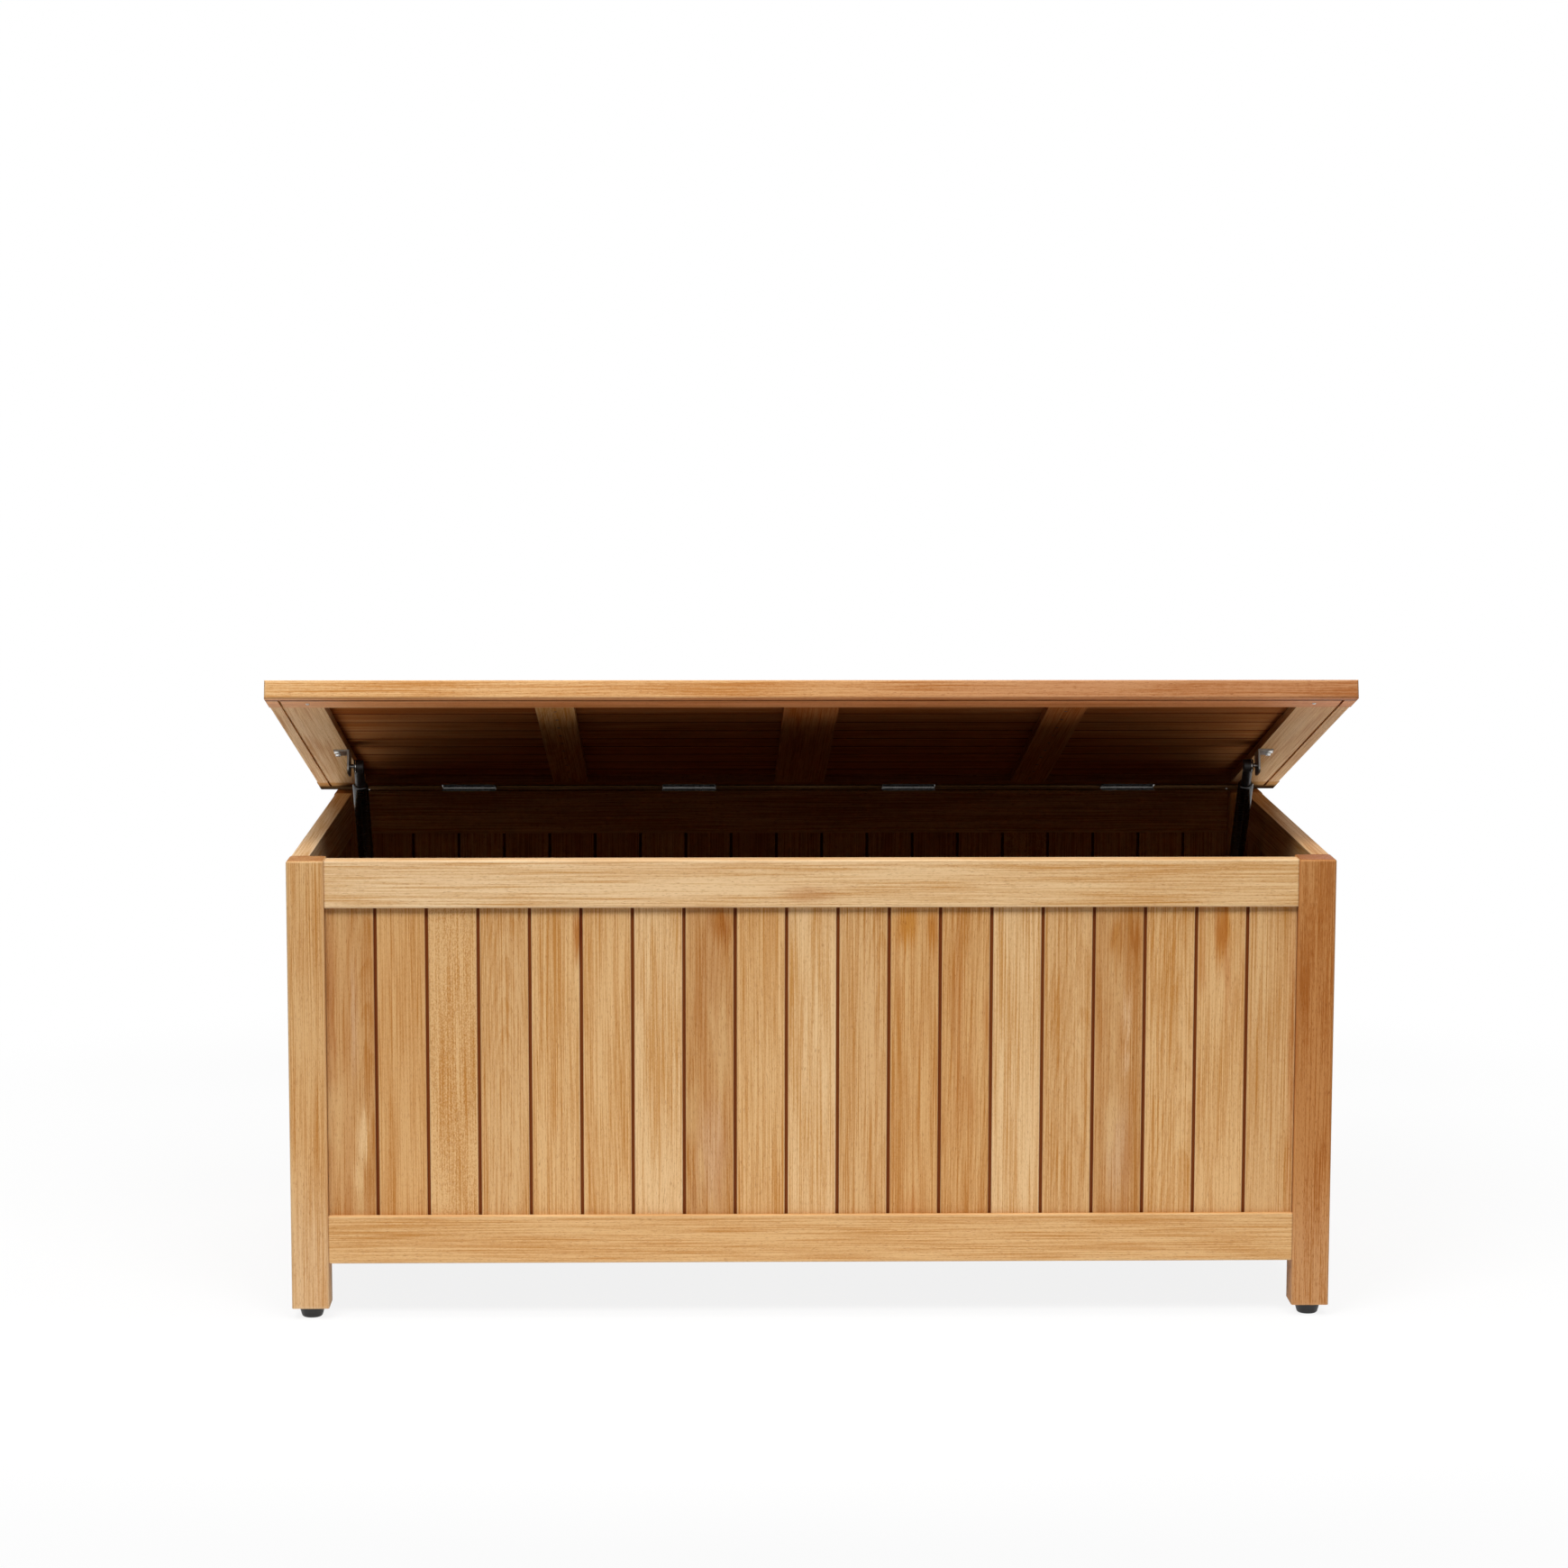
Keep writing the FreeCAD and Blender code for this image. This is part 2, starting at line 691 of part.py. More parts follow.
def make_hinges():
    box_pieces = []
    lid_pieces = []
    for number, x in enumerate(hinge_places(), start=1):
        lower = make_leaf(f"box_hinge_leaf_{number}", x, True)
        place(lower, 0, S.pin_y, S.pin_z)
        upper = make_leaf(f"lid_hinge_leaf_{number}", x, False)
        place_on_lid(upper)
        box_pieces.append(lower)
        lid_pieces.append(upper)
    pins = new_body("hinge_pins")
    section = new_sketch(pins, "YZ_Plane", hinge_places()[0] - S.hinge_length / 2)
    draw_circle(section, (0, 0), S.pin_diameter)
    pin = pad(pins, section, S.hinge_length)
    repeat(pins, pin, section, "N_Axis", S.hinge_spacing, S.hinge_count)
    place(pins, 0, S.pin_y, S.pin_z)
    return box_pieces + [pins], lid_pieces


def drip_sides():
    """Places of the drip groove's two legs, as (low, high) across the lid."""
    middle = S.lid_half - S.drip_inset
    half = S.drip_width / 2
    return [(side, middle * side - half, middle * side + half) for side in (LEFT, RIGHT)]


def make_lid_rail(label, front):
    """A lid rail, as long as the lid, with a board rebate inside and rounded outer edges."""
    body = new_body(label)
    section = new_sketch(body, "YZ_Plane", -S.lid_half)
    outer = S.lid_front if front else S.lid_rear
    inner = S.frame_front if front else S.frame_rear
    wall = inner - S.rebate_width if front else inner + S.rebate_width
    draw_polygon(section, [
        (outer, S.lid_under), (inner, S.lid_under), (inner, S.ledge_top),
        (wall, S.ledge_top), (wall, S.lid_top), (outer, S.lid_top),
    ])
    pad(body, section, S.lid_half * 2)
    round_edges(body, S.lid_radius, lambda a, b: near(a.y, outer) and near(b.y, outer))
    return body


def make_front_lid_rail():
    body = make_lid_rail("lid_front_rail", True)
    drip = new_sketch(body, "XY_Plane", S.lid_under)
    far = S.lid_front + S.drip_inset - S.drip_width / 2
    near_edge = far + S.drip_width
    (_, left_low, left_high), (_, right_low, right_high) = drip_sides()
    draw_polygon(drip, [
        (left_low, far), (right_high, far), (right_high, S.frame_front), (right_low, S.frame_front),
        (right_low, near_edge), (left_high, near_edge), (left_high, S.frame_front), (left_low, S.frame_front),
    ])
    pocket(body, drip, S.drip_depth, True)
    return body


def make_rear_lid_rail():
    """The rear rail also has a seat for each hinge leaf, a recess over its barrel and pilot holes."""
    body = make_lid_rail("lid_rear_rail", False)
    drip = new_sketch(body, "XY_Plane", S.lid_under)
    stop = S.lid_rear - S.drip_stop
    for side, low, high in drip_sides():
        outer, inner = (low, high) if side == LEFT else (high, low)
        hook = inner - S.drip_hook * side
        draw_polygon(drip, [
            (outer, S.frame_rear), (inner, S.frame_rear), (inner, stop - S.drip_width),
            (hook, stop - S.drip_width), (hook, stop), (outer, stop),
        ])
    pocket(body, drip, S.drip_depth, True)
    seats = new_sketch(body, "XY_Plane", S.lid_under)
    half = S.hinge_length / 2 + S.fit_play
    for x in hinge_places():
        draw_rectangle(seats, (x - half, -S.leaf_width - S.fit_play), (x + half, 0))
    pocket(body, seats, S.leaf_let_in, True)
    recesses = new_sketch(body, "XY_Plane", S.lid_under)
    half = S.hinge_length / 2 + S.knuckle_gap
    radius = S.knuckle_diameter / 2 + S.knuckle_gap
    for x in hinge_places():
        draw_rectangle(recesses, (x - half, -radius), (x + half, radius))
    pocket(body, recesses, radius - S.lid_under, True)
    pilots = new_sketch(body, "XY_Plane", S.lid_under)
    for x in hinge_places():
        for along, forward in leaf_screws():
            draw_circle(pilots, (x + along, -forward), S.screw_diameter + S.fit_play * 2)
    pocket(body, pilots, S.screw_length, True)
    return body


def make_lid_stile(side):
    """A stile between the lid rails; its upper half reaches over the rails' rebates."""
    body = new_body(f"lid_{SIDE_NAMES[side]}_stile")
    outer = S.lid_half * side
    inner = S.frame_half * side
    ledge = new_sketch(body, "XY_Plane", S.lid_under)
    draw_rectangle(ledge, (inner, S.frame_front), (outer, S.frame_rear))
    pad(body, ledge, S.ledge_top - S.lid_under)
    upper = new_sketch(body, "XY_Plane", S.ledge_top)
    lap = S.rebate_width
    draw_rectangle(upper, (inner + S.rebate_width * side, S.frame_front - lap), (outer, S.frame_rear + lap))
    pad(body, upper, S.lid_top - S.ledge_top)
    round_edges(body, S.lid_radius, lambda a, b: (
        near(a.x, outer) and near(b.x, outer) and near(a.z, b.z)
        and (near(a.z, S.lid_under) or near(a.z, S.lid_top))))
    _, low, high = drip_sides()[0 if side == LEFT else 1]
    drip = new_sketch(body, "XY_Plane", S.lid_under)
    draw_rectangle(drip, (low, S.frame_front), (high, S.frame_rear))
    pocket(body, drip, S.drip_depth, True)
    pilots = new_sketch(body, "XY_Plane", S.lid_under)
    for x, y in bracket_screws(side):
        draw_circle(pilots, (x, y), S.screw_diameter + S.fit_play * 2)
    pocket(body, pilots, S.screw_length - S.plate_thickness + S.end_play, True)
    return body


def make_lid_bar(label, middle, width, screws):
    """A bar between the lid rails under the boards; narrow battens are screwed to the boards."""
    body = new_body(label)
    outline = new_sketch(body, "XY_Plane", S.lid_under)
    draw_rectangle(outline, (middle - width / 2, S.frame_front), (middle + width / 2, S.frame_rear))
    pad(body, outline, S.ledge_top - S.lid_under)
    if screws:
        holes = new_sketch(body, "XY_Plane", S.lid_under)
        for y in batten_screw_places():
            draw_circle(holes, (middle, y), S.screw_diameter + S.fit_play * 2)
        pocket(body, holes, S.ledge_top - S.lid_under, True)
    return body


def batten_screw_places():
    return [S.frame_front + S.batten_screw_inset, S.frame_rear - S.batten_screw_inset]


def make_lid_boards():
    """Lengthwise boards in the rebate; half the waste is ripped off each of the outer two."""
    body = new_body("lid_boards")
    half = S.frame_half + S.rebate_width - S.fit_play
    outline = new_sketch(body, "YZ_Plane", -half)
    width = S.lid_board_pitch - S.lid_board_gap
    middle = (S.frame_front + S.frame_rear) / 2
    start = middle - S.lid_board_pitch * S.lid_board_count / 2 + S.lid_board_gap / 2
    section = tongued_outline(width, S.lid_board_gap, S.lid_board_thickness)
    draw_polygon(outline, [(start + y, S.ledge_top + z) for y, z in section])
    board = pad(body, outline, half * 2)
    repeat(body, board, outline, "H_Axis", S.lid_board_pitch, S.lid_board_count)
    trim = new_sketch(body, "YZ_Plane", -half)
    spread = S.lid_board_pitch * S.lid_board_count
    fits = (S.frame_rear - S.frame_front) / 2 + S.rebate_width - S.fit_play
    for side in (-1, 1):
        low = (middle + fits * side, S.lid_under)
        draw_rectangle(trim, low, (middle + spread * side, S.lid_top + S.lid_thickness))
    pocket(body, trim, half * 2, True)
    pilots = new_sketch(body, "XY_Plane", S.ledge_top)
    for side in (LEFT, RIGHT):
        for y in batten_screw_places():
            draw_circle(pilots, (S.batten_place * side, y), S.screw_diameter + S.fit_play * 2)
    pocket(body, pilots, S.lid_board_thickness / 2 + S.end_play, True)
    return body


def make_lid():
    pieces = [
        make_front_lid_rail(),
        make_rear_lid_rail(),
        make_lid_stile(LEFT),
        make_lid_stile(RIGHT),
        make_lid_bar("lid_centre_muntin", as_size(0), S.muntin_width, False),
        make_lid_bar("lid_left_batten", -S.batten_place, S.batten_width, True),
        make_lid_bar("lid_right_batten", S.batten_place, S.batten_width, True),
        make_lid_boards(),
    ]
    for piece in pieces:
        place_on_lid(piece)
    return pieces


def add_stud(body, root_x, ball_x, y, z):
    """A ball on a neck, standing across the box from root_x to ball_x."""
    length = ball_x - root_x
    outward = 1 if length.value > 0 else -1
    neck = body.newObject("PartDesign::AdditiveCylinder", "neck")
    bind(neck, "Radius", S.stud_diameter / 2)
    bind(neck, "Height", length * outward)
    neck.Placement = Placement(Vector(), Rotation(Vector(0, 1, 0), QUARTER * outward))
    ball = body.newObject("PartDesign::AdditiveSphere", "ball")
    bind(ball, "Radius", S.ball_diameter / 2)
    ball.Placement = Placement(Vector(), Rotation(Vector(0, 1, 0), QUARTER))
    for feature, x in ((neck, root_x), (ball, ball_x)):
        for name, size in zip("xyz", (x, y, z)):
            bind(feature, f"Placement.Base.{name}", size)


def bracket_screws(side):
    """Places of an angle bracket's two screws on the lid."""
    x = S.bracket_screw_x * side
    half = S.bracket_screw_spacing / 2
    return [(x, -S.strut_reach - half), (x, -S.strut_reach + half)]


def make_bracket(side):
    """An angle bracket under a lid stile: one leg on the stile, one hanging with the ball stud."""
    body = new_body(f"strut_bracket_{SIDE_NAMES[side]}")
    inner = (S.frame_half - S.plate_thickness) * side
    bend = S.frame_half * side
    outer = (S.bracket_screw_x + S.screw_head_diameter / 2) * side
    hang = S.lid_under - S.bracket_drop
    leg = S.lid_under - S.plate_thickness
    section = new_sketch(body, "XZ_Plane", S.strut_reach - S.bracket_width / 2)
    draw_polygon(section, [
        (inner, hang), (bend, hang), (bend, leg), (outer, leg), (outer, S.lid_under), (inner, S.lid_under),
    ])
    pad(body, section, S.bracket_width)
    round_edges(body, S.plate_radius, lambda a, b: near(a.z, hang) and near(b.z, hang) and near(a.y, b.y))
    holes = new_sketch(body, "XY_Plane", S.lid_under)
    for x, y in bracket_screws(side):
        draw_circle(holes, (x, y), S.screw_diameter + S.fit_play * 2)
    pocket(body, holes, S.plate_thickness)
    add_stud(body, inner, S.strut_x * side, -S.strut_reach, -S.strut_drop)
    place_on_lid(body)
    return body


def make_plate(side):
    """A plate on the inner face of a rear post, with the lower ball stud."""
    body = new_body(f"strut_plate_{SIDE_NAMES[side]}")
    face = S.front_clear / 2
    outer = face * side
    inner = (face - S.plate_thickness) * side
    start = inner if side == RIGHT else outer
    outline = new_sketch(body, "YZ_Plane", start)
    corner = (S.plate_width / 2, S.plate_height / 2)
    draw_rectangle(outline, (-corner[0], -corner[1]), corner)
    pad(body, outline, S.plate_thickness)
    round_edges(body, S.plate_radius, lambda a, b: not near(a.x, b.x))
    holes = new_sketch(body, "YZ_Plane", start + S.plate_thickness)
    for offset in (S.plate_screw_spacing / 2, -S.plate_screw_spacing / 2):
        draw_circle(holes, (0, offset), S.screw_diameter + S.fit_play * 2)
    pocket(body, holes, S.plate_thickness)
    add_stud(body, inner, S.strut_x * side, as_size(0), as_size(0))
    place(body, 0, S.lower_y, S.lower_z)
    return body


def add_socket(body, side, neck_length):
    """A ball socket at the body's origin, open towards its bracket, with a neck along the strut."""
    shell = body.newObject("PartDesign::AdditiveCylinder", "shell")
    bind(shell, "Radius", S.socket_diameter / 2)
    bind(shell, "Height", S.socket_width)
    shell.Placement = Placement(Vector(), Rotation(Vector(0, 1, 0), -QUARTER * side))
    bind(shell, "Placement.Base.x", S.socket_width / 2 * side)
    neck = body.newObject("PartDesign::AdditiveCylinder", "neck")
    bind(neck, "Radius", S.socket_neck_diameter / 2)
    upward = 1 if neck_length.value > 0 else -1
    bind(neck, "Height", neck_length * upward)
    if upward < 0:
        neck.Placement = Placement(Vector(), Rotation(Vector(1, 0, 0), 2 * QUARTER))
    seat = body.newObject("PartDesign::SubtractiveSphere", "seat")
    bind(seat, "Radius", S.ball_diameter / 2 + S.strut_play)
    seat.Placement = Placement(Vector(), Rotation(Vector(0, 1, 0), QUARTER))
    mouth = body.newObject("PartDesign::SubtractiveCylinder", "mouth")
    bind(mouth, "Radius", S.stud_diameter / 2 + S.stud_play)
    bind(mouth, "Height", S.socket_width)
    mouth.Placement = Placement(Vector(), Rotation(Vector(0, 1, 0), QUARTER * side))


def make_cylinder(side):
    """The strut's upper half, about its ball: socket, tube and gland, running down the strut."""
    name = SIDE_NAMES[side]
    socket = new_body(f"strut_upper_socket_{name}")
    add_socket(socket, side, -S.tube_start)
    outer = S.tube_diameter / 2
    bore = S.bore_diameter / 2
    end_wall = S.tube_start + S.tube_chamfer
    tube = turned(f"strut_tube_{name}", [
        (0, -S.tube_start), (outer - S.tube_chamfer, -S.tube_start), (outer, -end_wall),
        (outer, -S.tube_end), (bore, -S.tube_end), (bore, -end_wall), (0, -end_wall),
    ])
    gland_bore = S.rod_diameter / 2 + S.strut_play
    gland = turned(f"strut_gland_{name}", [
        (gland_bore, -S.tube_end), (bore, -S.tube_end),
        (bore, S.gland_length - S.tube_end), (gland_bore, S.gland_length - S.tube_end),
    ])
    pieces = [tube, gland, socket]
    for piece in pieces:
        place_tilted(piece, S.strut_x * side, S.upper_y, S.upper_z, 1, S.strut_lean)
    return pieces


def make_rod(side):
    """The strut's lower half, about its ball: socket, rod and piston, running up the strut."""
    name = SIDE_NAMES[side]
    socket = new_body(f"strut_lower_socket_{name}")
    neck = S.socket_diameter / 2 + S.rod_start
    add_socket(socket, side, neck)
    radius = S.rod_diameter / 2
    rod = turned(f"strut_rod_{name}", [(0, neck), (radius, neck), (radius, S.rod_end), (0, S.rod_end)])
    piston_radius = S.bore_diameter / 2 - S.strut_play
    start = S.rod_end - S.piston_length
    piston = turned(f"strut_piston_{name}", [
        (radius, start), (piston_radius, start), (piston_radius, S.rod_end), (radius, S.rod_end),
    ])
    pieces = [rod, piston, socket]
    for piece in pieces:
        place_tilted(piece, S.strut_x * side, S.lower_y, S.lower_z, 1, S.strut_lean)
    return pieces


def pan_screw(length):
    """Half outline of a pan-head screw as (radius, height), seated at height 0 with its shank upward."""
    head = S.screw_head_diameter / 2
    shank = S.screw_diameter / 2
    crown = S.screw_head_height
    return [
        (0, -crown), (head / 2, -crown), (head, -(crown / 2)), (head, 0),
        (shank, 0), (shank, length), (0, length),
    ]


def flat_screw(length):
    """Half outline of a countersunk screw as (radius, height), flush at height 0 with its shank upward."""
    head = S.leaf_screw_head / 2
    shank = S.screw_diameter / 2
    return [(0, 0), (head, 0), (shank, S.leaf_thickness), (shank, length), (0, length)]


def add_upright_screws(body, outline, x, y, z, spacing, axis):
    """Two screws with shanks upward, the first at (x, y, z) and the next a spacing further on."""
    sketch = new_sketch(body, "XZ_Plane", -y, (x, z))
    draw_polygon(sketch, outline)
    screw = revolve(body, sketch)
    repeat(body, screw, sketch, axis, spacing, as_size(2))


def make_lid_screws():
    """Pan-head screws of the angle brackets and of the narrow battens."""
    body = new_body("lid_screws")
    front, rear = batten_screw_places()
    batten_screw = S.ledge_top - S.lid_under + S.lid_board_thickness / 2
    for side in (LEFT, RIGHT):
        (x, _), (_, y) = bracket_screws(side)
        seat = S.lid_under - S.plate_thickness
        add_upright_screws(body, pan_screw(S.screw_length), x, y, seat, S.bracket_screw_spacing, "N_Axis")
        place_x = S.batten_place * side
        add_upright_screws(body, pan_screw(batten_screw), place_x, rear, S.lid_under, rear - front, "N_Axis")
    place_on_lid(body)
    return body


def make_plate_screws():
    """Pan-head screws of the plates, with their shanks outward in the rear posts."""
    body = new_body("plate_screws")
    for side in (LEFT, RIGHT):
        seat = (S.front_clear / 2 - S.plate_thickness) * side
        sketch = new_sketch(body, "XZ_Plane", 0, (seat, -(S.plate_screw_spacing / 2)))
        outline = pan_screw(S.screw_length)
        draw_polygon(sketch, [(as_size(height) * side, radius) for radius, height in outline])
        screw = revolve(body, sketch, "H_Axis")
        repeat(body, screw, sketch, "V_Axis", S.plate_screw_spacing, as_size(2))
    place(body, 0, S.lower_y, S.lower_z)
    return body


def make_leaf_screws(label, lower):
    """Countersunk screws of all the lower or all the upper hinge leaves."""
    body = new_body(label)
    inner = S.leaf_thickness - S.leaf_outer if lower else S.leaf_outer - S.leaf_thickness
    direction = -1 if lower else 1
    outline = [(radius, as_size(height) * direction) for radius, height in flat_screw(S.screw_length)]
    for x in hinge_places():
        (along, forward), (end, _) = leaf_screws()
        add_upright_screws(body, outline, x + along, -forward, inner, end - along, "H_Axis")
    return body


def make_struts():
    pieces = []
    for side in (LEFT, RIGHT):
        pieces += make_cylinder(side) + make_rod(side)
    return pieces


def make_screws():
    box_leaves = make_leaf_screws("box_hinge_screws", True)
    place(box_leaves, 0, S.pin_y, S.pin_z)
    lid_leaves = make_leaf_screws("lid_hinge_screws", False)
    place_on_lid(lid_leaves)
    return [make_lid_screws(), make_plate_screws(), box_leaves, lid_leaves]


def check(parts):
    """Stops the build if any feature failed, a cut removed nothing or a shape is not sound."""
    for feature in doc.Objects:
        if "Invalid" in feature.State or "Error" in feature.State:
            raise RuntimeError(f"{feature.Label} failed: {feature.State}")
        if feature.TypeId == "PartDesign::Pocket":
            if feature.Shape.Volume > feature.BaseFeature.Shape.Volume - LEAST_CUT:
                raise RuntimeError(f"{feature.Label} of {feature.getParent().Label} removed nothing")
    for part in parts:
        if part.Shape.isNull() or not part.Shape.isValid():
            raise RuntimeError(f"{part.Label} has no sound shape")


def main():
    parts = make_posts() + make_rails() + make_walls() + make_floor() + make_feet()
    box_hinges, lid_hinges = make_hinges()
    parts += box_hinges + make_lid() + lid_hinges
    for side in (LEFT, RIGHT):
        parts += [make_bracket(side), make_plate(side)]
    parts += make_struts() + make_screws()
    doc.recompute()
    check(parts)
    os.makedirs("parts", exist_ok=True)
    for part in parts:
        part.Shape.exportStep(f"parts/{part.Label}.step")
        print(part.Label, len(part.Shape.Solids), round(part.Shape.Volume))


main()
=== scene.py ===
"""Looks of the cushion storage box: oiled hardwood frame and boards, zinc fittings, two gas struts.

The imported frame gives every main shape. This script gives each piece its finish, adds the small
hardware that the frame leaves plain, and sets up the studio round it.
"""
from __future__ import annotations

import json
import logging
import math
import random
from collections.abc import Callable, Iterable, Mapping, Sequence
from dataclasses import dataclass, field
from enum import Enum

import bmesh
import bpy
import numpy as np
from mathutils import Matrix, Vector

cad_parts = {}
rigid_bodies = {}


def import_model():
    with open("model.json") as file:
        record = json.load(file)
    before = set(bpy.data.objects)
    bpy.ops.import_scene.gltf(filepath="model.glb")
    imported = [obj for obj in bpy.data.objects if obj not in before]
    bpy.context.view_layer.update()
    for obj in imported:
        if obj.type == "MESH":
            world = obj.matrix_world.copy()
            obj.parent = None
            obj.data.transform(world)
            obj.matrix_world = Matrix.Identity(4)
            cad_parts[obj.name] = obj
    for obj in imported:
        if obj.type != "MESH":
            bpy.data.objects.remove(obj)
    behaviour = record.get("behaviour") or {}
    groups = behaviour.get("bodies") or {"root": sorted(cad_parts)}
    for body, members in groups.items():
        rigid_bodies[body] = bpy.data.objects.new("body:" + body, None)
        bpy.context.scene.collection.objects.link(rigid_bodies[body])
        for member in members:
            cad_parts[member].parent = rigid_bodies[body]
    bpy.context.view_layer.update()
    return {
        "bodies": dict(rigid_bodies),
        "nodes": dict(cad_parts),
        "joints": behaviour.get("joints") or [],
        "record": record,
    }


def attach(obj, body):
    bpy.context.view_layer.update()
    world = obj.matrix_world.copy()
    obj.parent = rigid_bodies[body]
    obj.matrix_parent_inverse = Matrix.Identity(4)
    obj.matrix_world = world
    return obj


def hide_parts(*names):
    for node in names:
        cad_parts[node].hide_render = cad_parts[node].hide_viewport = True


LOG = logging.getLogger("storage_box")
MILLIMETRE = 0.001
SIDES = {"left": -1, "right": 1}
NOISE_MIDDLE = 0.5
# Corners nearer than this, in metres, are one.
SEAM = 1e-6
# Half sizes of marks that go past the ends of any stick, in millimetres.
LONG, ENDLESS = 4000.0, 9000.0
RGB = tuple[float, float, float]
Finish = bpy.types.Material
Piece = bpy.types.Object
Mesh = bmesh.types.BMesh


class Grain(Enum):
    """How a stick lies: its axes along the grain, across the face and through the thickness."""

    UPRIGHT_FRONT = (2, 0, 1)
    UPRIGHT_SIDE = (2, 1, 0)
    RAIL_FRONT = (0, 2, 1)
    RAIL_SIDE = (1, 2, 0)
    FLAT_LONG = (0, 1, 2)
    FLAT_DEEP = (1, 0, 2)


class Tone(Enum):
    """The colours that the boards were picked in, as linear red, green and blue."""

    CREAM = (0.695, 0.460, 0.228)
    BLOND = (0.660, 0.411, 0.181)
    HONEY = (0.618, 0.358, 0.140)
    TAN = (0.588, 0.336, 0.131)
    AMBER = (0.573, 0.309, 0.109)
    BROWN = (0.515, 0.270, 0.095)
    RUSSET = (0.430, 0.176, 0.046)
    CHESTNUT = (0.340, 0.108, 0.026)
    # Very dark tone of the floor slats and cleats, which stands in for the shade inside the box.
    INTERIOR_SHADE = (0.130, 0.058, 0.024)


class Figure(Enum):
    """What marks a board besides its rings, as the shares of stain, sapwood and ripple."""

    PLAIN = (0.15, 0.10, 0.06)
    STAINED = (0.85, 0.15, 0.05)
    STREAKED = (0.60, 0.75, 0.05)
    RIPPLED = (0.10, 0.20, 1.00)


# A wooden piece's name in the frame, its tone, its grain and what is special about it.
Stick = tuple[str, Tone, Grain, dict[str, object]]


def working(operation: str, swapped: bool = False) -> Callable[..., Shade]:
    """Makes an operator or method of Shade.

    Args:
        operation: The operation of the Math node that it adds.
        swapped: Whether the other value comes first, as in 1 - shade.

    Returns:
        The operator.
    """

    def work(shade: Shade, *others: float | Shade) -> Shade:
        """The result of a new Math node."""
        values = (*others, shade) if swapped else (shade, *others)
        return shade.recipe.node("ShaderNodeMath", {"operation": operation}, dict(enumerate(values)))

    return work


class Shade:
    """One output of a node tree; arithmetic on it adds Math nodes."""

    __add__, __radd__ = working("ADD"), working("ADD", swapped=True)
    __sub__, __rsub__ = working("SUBTRACT"), working("SUBTRACT", swapped=True)
    __mul__, __rmul__ = working("MULTIPLY"), working("MULTIPLY", swapped=True)
    __truediv__, __rtruediv__ = working("DIVIDE"), working("DIVIDE", swapped=True)
    __pow__, __rpow__ = working("POWER"), working("POWER", swapped=True)
    __abs__ = working("ABSOLUTE")
    least, most = working("MINIMUM"), working("MAXIMUM")
    whole, part = working("FLOOR"), working("FRACT")

    def __init__(self, recipe: Workings, socket: bpy.types.NodeSocket) -> None:
        """Wraps a socket of a tree."""
        self.recipe = recipe
        self.socket = socket

    def span(self, start: float, end: float) -> Shade:
        """A smooth step from 0 at the start to 1 at the end, which may be below the start."""
        settings = {"interpolation_type": "SMOOTHSTEP"}
        return self.recipe.node("ShaderNodeMapRange", settings, {0: self, 1: start, 2: end})

    def swing(self, size: float | Shade) -> Shade:
        """Noise as a swing about nought."""
        return (self - NOISE_MIDDLE) * size

    def split(self) -> tuple[Shade, Shade, Shade]:
        """The three parts of a vector or colour."""
        first = self.recipe.node("ShaderNodeSeparateXYZ", {}, {0: self})
        return first, first.twin(1), first.twin(2)

    def twin(self, output: int | str) -> Shade:
        """Another output of the same node."""
        return Shade(self.recipe, self.socket.node.outputs[output])

    def stretched(self, scale: RGB) -> Shade:
        """A vector with each part multiplied by its own number."""
        return self.along("MULTIPLY", scale)

    def along(self, operation: str, other: RGB | Shade) -> Shade:
        """A vector worked out with another, part by part."""
        return self.recipe.node("ShaderNodeVectorMath", {"operation": operation}, {0: self, 1: other})

    def length(self) -> Shade:
        """How long a vector is."""
        return self.recipe.node("ShaderNodeVectorMath", {"operation": "LENGTH"}, {0: self}, "Value")


